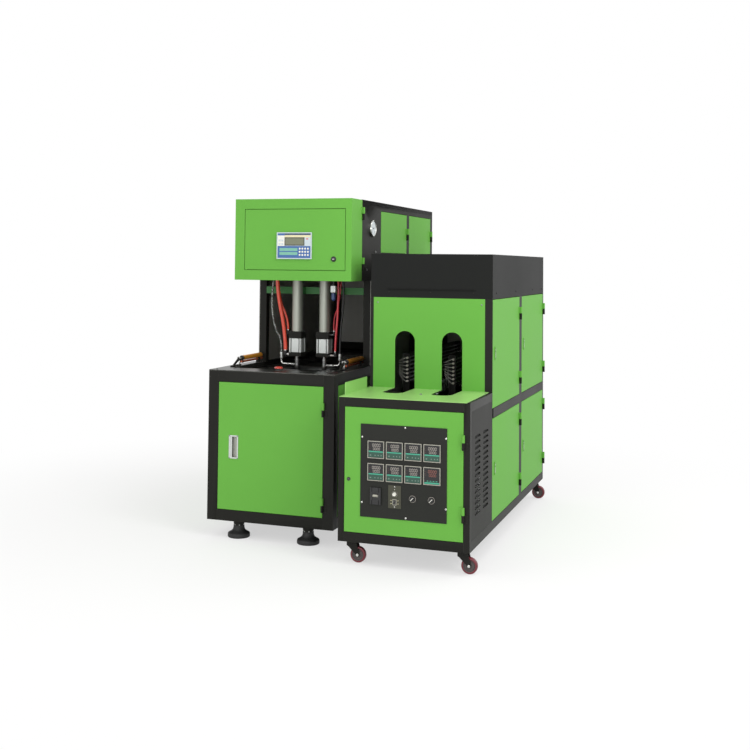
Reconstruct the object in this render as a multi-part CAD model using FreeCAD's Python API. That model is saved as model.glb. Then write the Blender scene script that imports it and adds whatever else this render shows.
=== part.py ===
import FreeCAD, Part
import math
import os
from FreeCAD import Rotation, Vector

# Blow moulding machine in two cabinets, in millimetres.
# Working frame: X to the right from the blower's left side, Y back from the
# blower's front, Z up from the floor. The last lines move the whole machine so
# that its origin is the middle of its footprint on the floor.

# ---- driving dimensions: sheet metal and small hardware ----
TUBE_WALL = 3.0
SHEET = 2.5
DOOR_GAP = 3.0
DOOR_DEPTH = 18.0
SKIN = 3.0
HINGE_R = 7.0
HINGE_HALF = 34.0
HINGE_PIN_R = 3.5
HINGE_END = 6.0
LEAF_WIDTH = 20.0
LEAF_SHEET = 3.0
PIN_CLEARANCE = 0.1
FACE_CLEARANCE = 0.5
SLIDE_CLEARANCE = 0.3

# ---- driving dimensions: blower ----
BASE_W = 688.0
BASE_D = 1800.0
BASE_TOP = 847.0
BASE_BOTTOM = 88.0
BASE_TUBE = 55.0
DECK_DEPTH = 140.0
DECK_SHEET = 4.0
TABLE_DROP = 24.0
FOOT_PAD_R = 57.0
FOOT_PAD_H = 22.0
FOOT_STEM_R = 28.0
FOOT_INSET_X = 153.0
FOOT_INSET_Y = 60.0

TOWER_INSET = 27.0
TOWER_TOP = 1743.0
TOWER_TUBE = 40.0
TOWER_LOW_FRONT = 560.0
TOWER_HIGH_FRONT = 403.0
SIDE_DOOR_H = 228.0
SIDE_DOOR_DROP = 49.0
SIDE_DOOR_LEAD = 324.0
SIDE_DOOR_BREAK = 53.0
SIDE_DOOR_TAIL = 47.0
SIDE_DOOR_SHARE = 0.51
GAUGE_R = 45.0
GAUGE_DEPTH = 12.0
GAUGE_BACK = 160.0
GAUGE_DROP = 148.0

HEAD_FRONT = 234.0
HEAD_DROP = 433.0
HEAD_H = 431.0
HEAD_GAP = 2.0
HEAD_DOOR_LEFT = 58.0
HEAD_DOOR_RIGHT = 36.0
HEAD_DOOR_EDGE = 56.0
HEAD_DOOR_DEPTH = 12.0
PANEL_W = 198.0
PANEL_H = 140.0
PANEL_X = 271.0
PANEL_RISE = 57.0
PANEL_DEPTH = 8.0
LOCK_R = 14.0
LOCK_INSET_X = 62.0
LOCK_INSET_Z = 58.0

# ---- driving dimensions: stretch and seal cylinders, mould clamp ----
CAVITY_PITCH = 160.0
CAVITY_Y = 515.0
BARREL_R = 30.0
BARREL_BORE_R = 26.0
BARREL_BOTTOM = 1028.0
BARREL_HEADROOM = 83.0
SEAL_BLOCK = 85.0
SEAL_CAP_H = 38.0
SEAL_BODY_H = 76.0
SEAL_FOOT_H = 22.0
TIE_ROD_R = 5.0
NOZZLE_R = 16.0
NOZZLE_TIP_R = 22.0
STRETCH_ROD_R = 6.0
SEAL_STROKE = 20.0
STRETCH_STROKE = 260.0
CROSSBAR_DROP = 78.0
CROSSBAR_H = 38.0
MOULD_W = 330.0
MOULD_H = 290.0
MOULD_HALF = 85.0
MOULD_TOP = 790.0
PLATEN_SHEET = 30.0
PLATEN_H = 340.0
TIE_BAR_R = 18.0
CLAMP_STROKE = 70.0
CLAMP_CYLINDER_R = 70.0
CLAMP_CYLINDER_L = 260.0
CAVITY_R = 33.0
NECK_R = 13.0

# ---- driving dimensions: side cylinders on the table ----
SIDE_CYL_R = 13.0
SIDE_CYL_BORE_R = 10.0
SIDE_CYL_X = 45.0
SIDE_CYL_Z = 889.0
SIDE_CYL_FRONT = 292.0
SIDE_ROD_R = 5.0
SIDE_STROKE = 110.0
GUIDE_ROD_R = 6.0

# ---- driving dimensions: heater ----
CABINET_GAP = 115.0
HEATER_W = 630.0
HEATER_FRONT = -246.0
HEATER_BACK = 1663.0
HEATER_BOTTOM = 107.0
SHELF_Z = 779.0
OVEN_FRONT = 215.0
OVEN_TOP = 1233.0
COVER_TOP = 1454.0
HEATER_TUBE = 28.0
BOTTOM_RAIL_H = 44.0
SHELF_RAIL_H = 41.0
MID_RAIL_Z = 651.0
MID_RAIL_H = 46.0
MID_POST_W = 63.0
REAR_POST_W = 23.0
MID_POST_Y = 905.0
OVEN_LEFT_POST = 15.0
OVEN_RIGHT_POST = 38.0
TOP_RAIL_H = 44.0
SHELF_SHEET = 3.0
SHELF_FIN_H = 56.0
SHELF_RIGHT_MARGIN = 16.0
ARCH_W = 104.0
ARCH_TOP = 1065.0
ARCH_PITCH = 244.0
ARCH_FIRST = 985.0
SLOT_TIP = -22.0
LOUVRE_COUNT = 15
LOUVRE_PITCH = 25.0
LOUVRE_H = 9.0
LOUVRE_W = 92.0
LOUVRE_Z = 256.0

# ---- driving dimensions: spindle chain and lamps ----
SPROCKET_TEETH = 16
SPINDLE_PITCH = 47.6
RUN_PITCHES = 26
LANE_OFFSET = 33.0
SPROCKET_Y = 65.0
CHAIN_Z = 700.0
LINK_T = 3.0
LINK_W = 18.0
LINK_GAP = 0.4
SPINDLE_R = 9.0
SPINDLE_H = 56.0
BUSH_R = 6.0
SPROCKET_T = 6.0
LAMP_COUNT = 7
LAMP_PITCH = 20.0
LAMP_R = 5.0
LAMP_L = 1100.0
LAMP_FRONT = 360.0
LAMP_Z = 799.0

# ---- driving dimensions: heater control door and casters ----
CONTROL_W = 414.0
CONTROL_H = 428.0
CONTROL_X = 913.0
CONTROL_Z = 230.0
CONTROL_SHEET = 3.0
METER = 80.0
METER_PITCH_X = 89.5
METER_PITCH_Z = 103.0
METER_X = 949.0
METER_Z = 399.0
METER_DEPTH = 6.0
WHEEL_R = 37.5
WHEEL_W = 28.0
CASTER_TRAIL = 33.0
CASTER_INSET_X = 48.0
CASTER_INSET_Y = 66.0
CASTER_PLATE = 80.0
CASTER_PLATE_T = 4.0
AXLE_R = 5.0
FORK_SHEET = 3.0

# ---- places worked out from the dimensions ----
X, Y, Z = Vector(1, 0, 0), Vector(0, 1, 0), Vector(0, 0, 1)
TOWER_L, TOWER_R = TOWER_INSET, BASE_W
TOWER_MID = (TOWER_L + TOWER_R) / 2
HEAD_BOTTOM = TOWER_TOP - HEAD_DROP
CROSSBAR_Z = HEAD_BOTTOM - CROSSBAR_DROP
BARREL_TOP = TOWER_TOP - BARREL_HEADROOM
PANEL_Z = HEAD_BOTTOM + HEAD_DOOR_EDGE + PANEL_RISE
SIDE_DOOR_TOP = TOWER_TOP - SIDE_DOOR_DROP
SIDE_DOOR_BOTTOM = SIDE_DOOR_TOP - SIDE_DOOR_H
GAUGE_Y = TOWER_HIGH_FRONT + GAUGE_BACK
GAUGE_Z = TOWER_TOP - GAUGE_DROP
CAVITY_X = (TOWER_MID - CAVITY_PITCH / 2, TOWER_MID + CAVITY_PITCH / 2)
HEAD_BACK = TOWER_HIGH_FRONT - HEAD_GAP
HEAD_TOP = HEAD_BOTTOM + HEAD_H
HEATER_L = BASE_W + CABINET_GAP
HEATER_R = HEATER_L + HEATER_W
MID_RAIL_TOP = MID_RAIL_Z + MID_RAIL_H
SHELF_UNDER = SHELF_Z - SHELF_SHEET
DECK_TOP = BASE_TOP + DECK_SHEET
TABLE_Z = DECK_TOP - TABLE_DROP
HINGE_OUT = HINGE_R + FACE_CLEARANCE
CHAIN_R = SPINDLE_PITCH / (2 * math.sin(math.pi / SPROCKET_TEETH))
LANE_MID = ARCH_FIRST + ARCH_PITCH / 2 + LANE_OFFSET
REAR_SPROCKET_Y = SPROCKET_Y + RUN_PITCHES * SPINDLE_PITCH
CONTROL_FACE = HEATER_FRONT - CONTROL_SHEET
PARTS = {}


# ---- shape helpers ----
def block(x0, x1, y0, y1, z0, z1):
    return Part.makeBox(x1 - x0, y1 - y0, z1 - z0, Vector(x0, y0, z0))


def round_bar(radius, x, y, z, axis, length):
    return Part.makeCylinder(radius, length, Vector(x, y, z), axis)


def tube(x0, x1, y0, y1, z0, z1, along):
    """Square tube, open at both ends along the named axis."""
    wall = {a: 0 if a == along else TUBE_WALL for a in "xyz"}
    inner = block(x0 + wall["x"], x1 - wall["x"], y0 + wall["y"], y1 - wall["y"],
                  z0 + wall["z"], z1 - wall["z"])
    return block(x0, x1, y0, y1, z0, z1).cut(inner)


def pan(x0, x1, y0, y1, z0, z1, open_side):
    """Folded sheet pan: a face with four returned edges, open on one side."""
    low = {"x": x0 + SHEET, "y": y0 + SHEET, "z": z0 + SHEET}
    high = {"x": x1 - SHEET, "y": y1 - SHEET, "z": z1 - SHEET}
    edges = {"x": (x0, x1), "y": (y0, y1), "z": (z0, z1)}
    axis = open_side[1]
    if open_side[0] == "+":
        high[axis] = edges[axis][1]
    else:
        low[axis] = edges[axis][0]
    inner = block(low["x"], high["x"], low["y"], high["y"], low["z"], high["z"])
    return block(x0, x1, y0, y1, z0, z1).cut(inner)


def group(*shapes):
    """Several separate solids kept in one part."""
    solids = []
    for shape in shapes:
        solids.extend(shape.Solids)
    return Part.makeCompound(solids)


def fused(first, *others):
    """Several shapes welded into one solid."""
    return first.multiFuse(list(others)).removeSplitter()


def profile(points, normal_to, at, thickness):
    """Flat plate with a polygon outline in the plane square to one axis."""
    place = {"x": lambda a, b: Vector(at, a, b), "y": lambda a, b: Vector(a, at, b),
             "z": lambda a, b: Vector(a, b, at)}[normal_to]
    corners = [place(a, b) for a, b in points]
    face = Part.Face(Part.makePolygon(corners + corners[:1]))
    return face.extrude({"x": X, "y": Y, "z": Z}[normal_to] * thickness)


def lift_hinge(x, y, z, door_side, outward):
    """The door half and the frame half of a weld-on lift-off hinge.

    (x, y) is the edge line on the face, z the height where the halves meet,
    door_side the direction from the line to the door, outward the face normal.
    """
    axis = Vector(x, y, z) + outward * HINGE_OUT
    running = PIN_CLEARANCE + HINGE_PIN_R
    upper = Part.makeCylinder(HINGE_R, HINGE_HALF, axis)
    upper = upper.cut(Part.makeCylinder(running, HINGE_HALF - HINGE_END, axis))
    lower = Part.makeCylinder(HINGE_R, HINGE_HALF - SLIDE_CLEARANCE, axis - Z * HINGE_HALF)
    pin_length = HINGE_HALF - HINGE_END - SLIDE_CLEARANCE
    pin = Part.makeCylinder(HINGE_PIN_R, pin_length + SLIDE_CLEARANCE, axis - Z * SLIDE_CLEARANCE)
    halves = []
    for knuckle, side, low in ((upper, door_side, 0), (lower, door_side * -1, -HINGE_HALF)):
        start = Vector(x, y, z + low)
        far = start + side * LEAF_WIDTH + outward * LEAF_SHEET
        height = HINGE_HALF if low == 0 else HINGE_HALF - SLIDE_CLEARANCE
        leaf = block(min(start.x, far.x), max(start.x, far.x), min(start.y, far.y),
                     max(start.y, far.y), start.z, start.z + height)
        inside = Part.makeCylinder(running, height, axis + Z * low)
        halves.append(knuckle.fuse(leaf.cut(inside) if low == 0 else leaf))
    return halves[0], halves[1].fuse(pin)


def hung(door, frame_member, hinges):
    """Weld each hinge's upper half to the door and its lower half to the frame."""
    halves = [lift_hinge(*hinge) for hinge in hinges]
    return fused(door, *[h[0] for h in halves]), fused(frame_member, *[h[1] for h in halves])


# ---- blower base ----
def base():
    t, w, d, z0, z1 = BASE_TUBE, BASE_W, BASE_D, BASE_BOTTOM, BASE_TOP
    posts = {
        "fl": tube(0, t, 0, t, z0, z1, "z"),
        "fr": tube(w - t, w, 0, t, z0, z1, "z"),
        "rl": tube(0, t, d - t, d, z0, z1, "z"),
        "rr": tube(w - t, w, d - t, d, z0, z1, "z"),
    }
    rails = []
    for low in (z0, z1 - t):
        rails += [tube(t, w - t, y, y + t, low, low + t, "x") for y in (0, d - t)]
        rails += [tube(x, x + t, t, d - t, low, low + t, "y") for x in (0, w - t)]
    cross = [tube(t, w - t, y, y + t, z0, z0 + t, "x") for y in clamp_feet()]
    gap = DOOR_GAP
    door = pan(t + gap, w - t - gap, 0, DOOR_DEPTH, z0 + t + gap, z1 - t - gap, "+y")
    edge = w - t - gap / 2
    door_h = z1 - z0 - 2 * t
    lines = [z0 + t + door_h * share for share in (0.1, 0.82)]
    hinges = [(edge, 0, z, X * -1, Y * -1) for z in lines]
    hole = block(*pull_box(), -1, DOOR_DEPTH, *pull_heights())
    door, posts["fr"] = hung(door.cut(hole), posts["fr"], hinges)
    PARTS["base_frame"] = group(*posts.values(), *rails, *cross)
    PARTS["base_door"] = door
    PARTS["door_handle"] = flush_pull()
    inner = SKIN
    panels = [
        block(x, x + inner, t, d - t, z0 + t, z1 - t) for x in (0, w - inner)
    ] + [block(t, w - t, d - inner, d, z0 + t, z1 - t)]
    PARTS["base_panels"] = group(*panels)
    feet = []
    for x in (FOOT_INSET_X, w - FOOT_INSET_X):
        for y in (FOOT_INSET_Y, d - FOOT_INSET_Y):
            feet.append(levelling_foot(x, y))
    PARTS["levelling_feet"] = group(*feet)


def levelling_foot(x, y):
    """Rubber machine foot: a wide pad with a sloping shoulder under a round stem."""
    shoulder = FOOT_PAD_H + FOOT_PAD_H * 0.7
    points = [(0, 0), (FOOT_PAD_R, 0), (FOOT_PAD_R, FOOT_PAD_H), (FOOT_STEM_R, shoulder),
              (FOOT_STEM_R, BASE_BOTTOM), (0, BASE_BOTTOM)]
    corners = [Vector(x + r, y, z) for r, z in points]
    face = Part.Face(Part.makePolygon(corners + corners[:1]))
    return face.revolve(Vector(x, y, 0), Z, 360)


PULL_W, PULL_H, PULL_X, PULL_Z, PULL_RIM, PULL_DISH = 52.0, 118.0, 118.0, 404.0, 5.0, 14.0


def pull_box():
    return PULL_X + PULL_RIM, PULL_X + PULL_W - PULL_RIM


def pull_heights():
    return PULL_Z + PULL_RIM, PULL_Z + PULL_H - PULL_RIM


def flush_pull():
    """Flush pull: a rim on the door's face round a dish sunk in the opening."""
    x0, x1 = pull_box()
    z0, z1 = pull_heights()
    rim = block(PULL_X, PULL_X + PULL_W, -SHEET, 0, PULL_Z, PULL_Z + PULL_H)
    dish = block(x0, x1, 0, PULL_DISH, z0, z1)
    well = block(x0 + SHEET, x1 - SHEET, -SHEET, PULL_DISH - SHEET, z0 + SHEET, z1 - SHEET)
    return fused(rim, dish).cut(well)


# ---- table with its front deck ----
def table():
    t, w = BASE_TUBE, BASE_W
    back = BASE_D - t
    deck = block(0, w, 0, DECK_DEPTH, BASE_TOP, DECK_TOP)
    side = SLIDE_CLEARANCE
    riser = block(t + side, w - t - side, DECK_DEPTH - DECK_SHEET, DECK_DEPTH, TABLE_Z, DECK_TOP)
    plate = block(t + side, w - t - side, DECK_DEPTH - DECK_SHEET, back, TABLE_Z - DECK_SHEET, TABLE_Z)
    margin = NOZZLE_TIP_R + 18
    hole = block(CAVITY_X[0] - margin, CAVITY_X[1] + margin, CAVITY_Y - SEAL_BLOCK, CAVITY_Y + SEAL_BLOCK,
                 TABLE_Z - 2 * DECK_SHEET, TABLE_Z + DECK_SHEET)
    strips = [block(x, x + t, DECK_DEPTH, TOWER_LOW_FRONT, BASE_TOP, DECK_TOP) for x in (0, w - t)]
    PARTS["table_plate"] = fused(deck, riser, plate, *strips).cut(hole)
    ring = round_bar(BUTTON_RING_R, BUTTON_X, BUTTON_Y, DECK_TOP, Z, BUTTON_RING_H)
    well = round_bar(BUTTON_STEM_R + SLIDE_CLEARANCE, BUTTON_X, BUTTON_Y, BASE_TOP, Z,
                     DECK_SHEET + BUTTON_RING_H)
    PARTS["table_plate"] = fused(PARTS["table_plate"], ring).cut(well)
    head_z = DECK_TOP + BUTTON_RING_H + BUTTON_TRAVEL
    stem = round_bar(BUTTON_STEM_R, BUTTON_X, BUTTON_Y, BASE_TOP - BUTTON_STEM_L, Z, head_z - BASE_TOP + BUTTON_STEM_L)
    PARTS["start_button"] = fused(stem, mushroom(BUTTON_X, BUTTON_Y, head_z))


BUTTON_X, BUTTON_Y, BUTTON_R, BUTTON_H = 343.0, 105.0, 22.0, 12.0
BUTTON_RING_R, BUTTON_RING_H, BUTTON_STEM_R, BUTTON_STEM_L, BUTTON_TRAVEL = 16.0, 4.0, 9.0, 20.0, 4.0


def mushroom(x, y, z):
    """Domed button head, turned from a rim, a wide chamfer and a flat crown."""
    shape = ((0, 0), (1, 0), (1, 0.4), (0.86, 0.72), (0.5, 1), (0, 1))
    corners = [Vector(x + BUTTON_R * r, y, z + BUTTON_H * h) for r, h in shape]
    face = Part.Face(Part.makePolygon(corners + corners[:1]))
    return face.revolve(Vector(x, y, 0), Z, 360)


# ---- tower ----
def tower():
    t, low, high, top = TOWER_TUBE, TOWER_LOW_FRONT, TOWER_HIGH_FRONT, TOWER_TOP - SKIN
    left, right, back = TOWER_L + SKIN, TOWER_R - SKIN, BASE_D - SKIN
    pieces = []
    for x in (left, right - t):
        pieces.append(tube(x, x + t, low, low + t, BASE_TOP, top - t, "z"))
        pieces.append(tube(x, x + t, back - t, back, BASE_TOP, top - t, "z"))
        pieces.append(tube(x, x + t, high + SKIN, high + SKIN + t, HEAD_BOTTOM + t, top - t, "z"))
        pieces.append(tube(x, x + t, high + SKIN, low, HEAD_BOTTOM, HEAD_BOTTOM + t, "y"))
        pieces.append(tube(x, x + t, high + SKIN, back, top - t, top, "y"))
    inner_l, inner_r = left + t, right - t
    for y, z in ((high + SKIN, top - t), (high + SKIN, HEAD_BOTTOM), (back - t, top - t),
                 (back - t, BASE_TOP), (low, top - t)):
        pieces.append(tube(inner_l, inner_r, y, y + t, z, z + t, "x"))
    door_mid = (SIDE_DOOR_TOP + SIDE_DOOR_BOTTOM) / 2
    right_skin = side_skin(TOWER_R - SKIN)
    doors = []
    for start, end in tower_door_spans():
        hole = block(TOWER_R - 2 * SKIN, TOWER_R + SKIN, start - DOOR_GAP, end + DOOR_GAP,
                     SIDE_DOOR_BOTTOM - DOOR_GAP, SIDE_DOOR_TOP + DOOR_GAP)
        right_skin = right_skin.cut(hole)
        door = pan(TOWER_R - DOOR_DEPTH, TOWER_R, start, end, SIDE_DOOR_BOTTOM, SIDE_DOOR_TOP, "-x")
        hinge = (TOWER_R, end + DOOR_GAP / 2, door_mid, Y * -1, X)
        door, right_skin = hung(door, right_skin, [hinge])
        doors.append(door)
    PARTS["tower_door_front"], PARTS["tower_door_rear"] = doors
    head_hinges = [(TOWER_R, HEAD_BACK + HEAD_GAP / 2, z, Y * -1, X) for z in head_hinge_heights()]
    for hinge in head_hinges:
        right_skin = right_skin.fuse(lift_hinge(*hinge)[1])
    hole = round_bar(GAUGE_R * 0.5, TOWER_R - 2 * SKIN, GAUGE_Y, GAUGE_Z, X, 3 * SKIN)
    right_skin = right_skin.cut(hole).removeSplitter()
    top_skin = block(TOWER_L, TOWER_R, high, BASE_D, TOWER_TOP - SKIN, TOWER_TOP)
    rear_skin = block(TOWER_L + SKIN, TOWER_R - SKIN, BASE_D - SKIN, BASE_D, BASE_TOP, TOWER_TOP - SKIN)
    front_skin = block(TOWER_L + SKIN, TOWER_R - SKIN, high, high + SKIN, HEAD_BOTTOM, TOWER_TOP - SKIN)
    PARTS["tower_frame"] = group(*pieces)
    PARTS["tower_panels"] = group(side_skin(TOWER_L), right_skin, top_skin, rear_skin, front_skin)
    PARTS["pressure_gauge"] = gauge()


def tower_door_spans():
    """Front and rear edges of the two doors in the tower's right side."""
    first = TOWER_HIGH_FRONT + SIDE_DOOR_LEAD
    last = BASE_D - SIDE_DOOR_TAIL
    front_l = (last - first - SIDE_DOOR_BREAK) * SIDE_DOOR_SHARE
    return (first, first + front_l), (first + front_l + SIDE_DOOR_BREAK, last)


def side_skin(x):
    """Side sheet of the tower, stepped forward above the mould space."""
    top = TOWER_TOP - SKIN
    points = [(TOWER_LOW_FRONT, BASE_TOP), (BASE_D, BASE_TOP), (BASE_D, top),
              (TOWER_HIGH_FRONT, top), (TOWER_HIGH_FRONT, HEAD_BOTTOM), (TOWER_LOW_FRONT, HEAD_BOTTOM)]
    return profile(points, "x", x, SKIN)


def head_hinge_heights():
    return HEAD_BOTTOM + HEAD_DOOR_EDGE + HINGE_HALF, HEAD_TOP - HEAD_DOOR_EDGE - HINGE_HALF / 2


def gauge():
    """Pressure gauge: a bezel ring round a recessed dial, with its stem through the skin."""
    case = round_bar(GAUGE_R, TOWER_R, GAUGE_Y, GAUGE_Z, X, GAUGE_DEPTH)
    recess = round_bar(GAUGE_R - 5, TOWER_R + GAUGE_DEPTH - 3, GAUGE_Y, GAUGE_Z, X, 4)
    stem_length = SKIN - FACE_CLEARANCE
    stem = round_bar(GAUGE_R * 0.5 - FACE_CLEARANCE, TOWER_R - stem_length, GAUGE_Y, GAUGE_Z, X, stem_length)
    return fused(case.cut(recess), stem)


# ---- control head ----
def head():
    x0, x1, z0, z1 = TOWER_L - 1, TOWER_R, HEAD_BOTTOM, HEAD_TOP
    y0, y1 = HEAD_FRONT, HEAD_BACK
    shell = block(x0, x1, y0, y1, z0, z1)
    shell = shell.cut(block(x0 + SKIN, x1 - SKIN, y0 + SKIN, y1 - SKIN, z0 + SKIN, z1 - SKIN))
    dx0, dx1 = x0 + HEAD_DOOR_LEFT, x1 - HEAD_DOOR_RIGHT
    dz0, dz1 = z0 + HEAD_DOOR_EDGE, z1 - HEAD_DOOR_EDGE
    gap = DOOR_GAP
    shell = shell.cut(block(dx0 - gap, dx1 + gap, y0 - 1, y0 + SKIN + 1, dz0 - gap, dz1 + gap))
    halves = [lift_hinge(TOWER_R, HEAD_BACK + HEAD_GAP / 2, z, Y * -1, X)[0] for z in head_hinge_heights()]
    pivot_x, pivot_y = head_door_pivot()
    lugs = []
    for z, way in ((dz0 - gap, -1), (dz1 + gap, 1)):
        low = min(z, z + way * HEAD_LUG_T)
        lug = block(dx0 - gap, dx0 + 2 * HEAD_DOOR_DEPTH, y0 + SKIN, y0 + 2 * HEAD_DOOR_DEPTH, low, low + HEAD_LUG_T)
        bore = round_bar(HINGE_PIN_R + PIN_CLEARANCE, pivot_x, pivot_y, low - 1, Z, HEAD_LUG_T + 2)
        lugs.append(lug.cut(bore))
    web = [block(dx0 - gap, dx0 + 2 * HEAD_DOOR_DEPTH, y0 + SKIN - 0.5, y0 + SKIN, low, low + HEAD_LUG_T)
           for low in (dz0 - gap - HEAD_LUG_T, dz1 + gap)]
    clear = round_bar(HINGE_PIN_R + PIN_CLEARANCE, pivot_x, pivot_y, z0, Z, HEAD_H)
    shell = fused(shell, *halves, *lugs, *web).cut(clear.cut(block(x0, x1, y0, y1, dz1 + gap + HEAD_LUG_T, z1))
                                                   .cut(block(x0, x1, y0, y1, z0, dz0 - gap - HEAD_LUG_T)))
    PARTS["head_box"] = shell
    door = pan(dx0, dx1, y0, y0 + HEAD_DOOR_DEPTH, dz0, dz1, "+y")
    pin_length = HEAD_LUG_T + gap
    boss = block(dx0, dx0 + HEAD_DOOR_DEPTH, y0, y0 + HEAD_DOOR_DEPTH, dz0, dz1)
    pins = [round_bar(HINGE_PIN_R, pivot_x, pivot_y, z, Z, pin_length) for z in (dz0 - pin_length, dz1)]
    lock_x, lock_z = head_lock_place()
    bore = round_bar(LOCK_SHAFT_R + SLIDE_CLEARANCE, lock_x, y0 - 1, lock_z, Y, HEAD_DOOR_DEPTH)
    PARTS["head_door"] = fused(door, boss, *pins).cut(bore)
    PARTS["head_lock"] = cam_lock(lock_x, lock_z)
    PARTS["operator_panel"] = operator_panel()


HEAD_LUG_T = 6.0
LOCK_SHAFT_R = 6.0
LOCK_TONGUE_W = 14.0
LOCK_TONGUE_T = 3.0


def head_door_pivot():
    return (TOWER_L - 1 + HEAD_DOOR_LEFT + HEAD_DOOR_DEPTH / 2, HEAD_FRONT + HEAD_DOOR_DEPTH / 2)


def head_lock_place():
    return (TOWER_R - HEAD_DOOR_RIGHT - LOCK_INSET_X, HEAD_BOTTOM + HEAD_DOOR_EDGE + LOCK_INSET_Z)


def cam_lock(x, z):
    """Quarter-turn lock: a round head, a shaft through the door and a tongue behind it."""
    y = HEAD_FRONT
    head_disc = round_bar(LOCK_R, x, y - 7, z, Y, 7 - SLIDE_CLEARANCE)
    slot = block(x - LOCK_R * 0.7, x + LOCK_R * 0.7, y - 8, y - 5, z - 1.5, z + 1.5)
    shaft = round_bar(LOCK_SHAFT_R, x, y - 1, z, Y, HEAD_DOOR_DEPTH + 6)
    reach = LOCK_INSET_X + DOOR_GAP + 12
    tongue_y = y + HEAD_DOOR_DEPTH + 1
    tongue = block(x - LOCK_TONGUE_W / 2, x + LOCK_TONGUE_W / 2, tongue_y, tongue_y + LOCK_TONGUE_T,
                   z - LOCK_TONGUE_W / 2, z + reach)
    return fused(head_disc.cut(slot), shaft, tongue)


def operator_panel():
    """Membrane operator panel: bezel, sunk display window and a raised key field."""
    y = HEAD_FRONT
    x1, z1 = PANEL_X + PANEL_W, PANEL_Z + PANEL_H
    body = block(PANEL_X, x1, y - PANEL_DEPTH, y, PANEL_Z, z1)
    window = block(PANEL_X + PANEL_W * 0.2, PANEL_X + PANEL_W * 0.78, y - PANEL_DEPTH - 1, y - PANEL_DEPTH + 2,
                   PANEL_Z + PANEL_H * 0.54, PANEL_Z + PANEL_H * 0.84)
    keys = block(PANEL_X + PANEL_W * 0.08, x1 - PANEL_W * 0.06, y - PANEL_DEPTH - 1, y - PANEL_DEPTH,
                 PANEL_Z + PANEL_H * 0.08, PANEL_Z + PANEL_H * 0.44)
    return fused(body.cut(window), keys)


# ---- stretch cylinders, seal cylinders and nozzles ----
def stretching():
    crossbar_y = TOWER_LOW_FRONT
    left, right = TOWER_L + SKIN + TOWER_TUBE, TOWER_R - SKIN - TOWER_TUBE
    bar = tube(left, right, crossbar_y, crossbar_y + TOWER_TUBE, CROSSBAR_Z, CROSSBAR_Z + CROSSBAR_H, "x")
    plate_z = HEAD_BOTTOM + TOWER_TUBE
    y0, y1 = TOWER_HIGH_FRONT + SKIN + TOWER_TUBE, TOWER_LOW_FRONT
    top_plate = block(left, right, y0, y1, plate_z, plate_z + BEAM_T)
    arms = []
    barrels, rods, seals, nozzles = [], [], [], []
    for x in CAVITY_X:
        top_plate = top_plate.cut(round_bar(BARREL_R + SLIDE_CLEARANCE, x, CAVITY_Y, plate_z - 1, Z, BEAM_T + 2))
        arm = block(x - BARREL_R, x + BARREL_R, CAVITY_Y, crossbar_y, CROSSBAR_Z, CROSSBAR_Z + CROSSBAR_H)
        arms.append(arm.cut(round_bar(BARREL_R, x, CAVITY_Y, CROSSBAR_Z - 1, Z, CROSSBAR_H + 2)))
        barrels.append(barrel(x))
        seals.append(seal_cylinder(x))
        rods.append(stretch_rod(x))
        nozzles.append(seal_nozzle(x))
    PARTS["cylinder_beam"] = group(fused(bar, *arms), top_plate)
    PARTS["stretch_cylinders"] = group(*barrels)
    PARTS["seal_cylinders"] = group(*seals)
    PARTS["stretch_rod_left"], PARTS["stretch_rod_right"] = rods
    PARTS["seal_nozzle_left"], PARTS["seal_nozzle_right"] = nozzles


BEAM_T = 12.0
ROD_CLEAR_R = STRETCH_ROD_R + 1.0
SEAL_TOP = BARREL_BOTTOM
SEAL_BOTTOM = SEAL_TOP - SEAL_CAP_H - SEAL_BODY_H - SEAL_FOOT_H
SEAL_BORE_R = 36.0
NOZZLE_BOTTOM = SEAL_BOTTOM - 76.0
PISTON_H = 20.0


def barrel(x):
    """Long aluminium barrel with a flat end cap on top."""
    outer = round_bar(BARREL_R, x, CAVITY_Y, BARREL_BOTTOM, Z, BARREL_TOP - BARREL_BOTTOM)
    bore = round_bar(BARREL_BORE_R, x, CAVITY_Y, BARREL_BOTTOM - 1, Z, BARREL_TOP - BARREL_BOTTOM - 9)
    return outer.cut(bore)


def seal_cylinder(x):
    """Short square cylinder: top cap, barrel block with tie rods, bottom cap and guide."""
    half = SEAL_BLOCK / 2
    y = CAVITY_Y
    body_z = SEAL_TOP - SEAL_CAP_H - SEAL_BODY_H
    top = block(x - half, x + half, y - half, y + half, SEAL_TOP - SEAL_CAP_H, SEAL_TOP)
    foot = block(x - half, x + half, y - half, y + half, SEAL_BOTTOM, SEAL_BOTTOM + SEAL_FOOT_H)
    body = round_bar(half - 4, x, y, body_z, Z, SEAL_BODY_H)
    ties = []
    reach = half - TIE_ROD_R - 2
    for dx in (-reach, reach):
        for dy in (-reach, reach):
            ties.append(round_bar(TIE_ROD_R, x + dx, y + dy, body_z, Z, SEAL_BODY_H))
    solid = fused(top, foot, body, *ties, *fittings(x, -1 if x < TOWER_MID else 1))
    chamber = round_bar(SEAL_BORE_R, x, y, body_z, Z, SEAL_BODY_H)
    guide = round_bar(NOZZLE_R + SLIDE_CLEARANCE, x, y, PIPE_Z - 11, Z, SEAL_BOTTOM - PIPE_Z + SEAL_FOOT_H + 12)
    upper = round_bar(ROD_CLEAR_R, x, y, SEAL_TOP - SEAL_CAP_H - 1, Z, SEAL_CAP_H + 2)
    return solid.cut(chamber).cut(guide).cut(upper)


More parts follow.
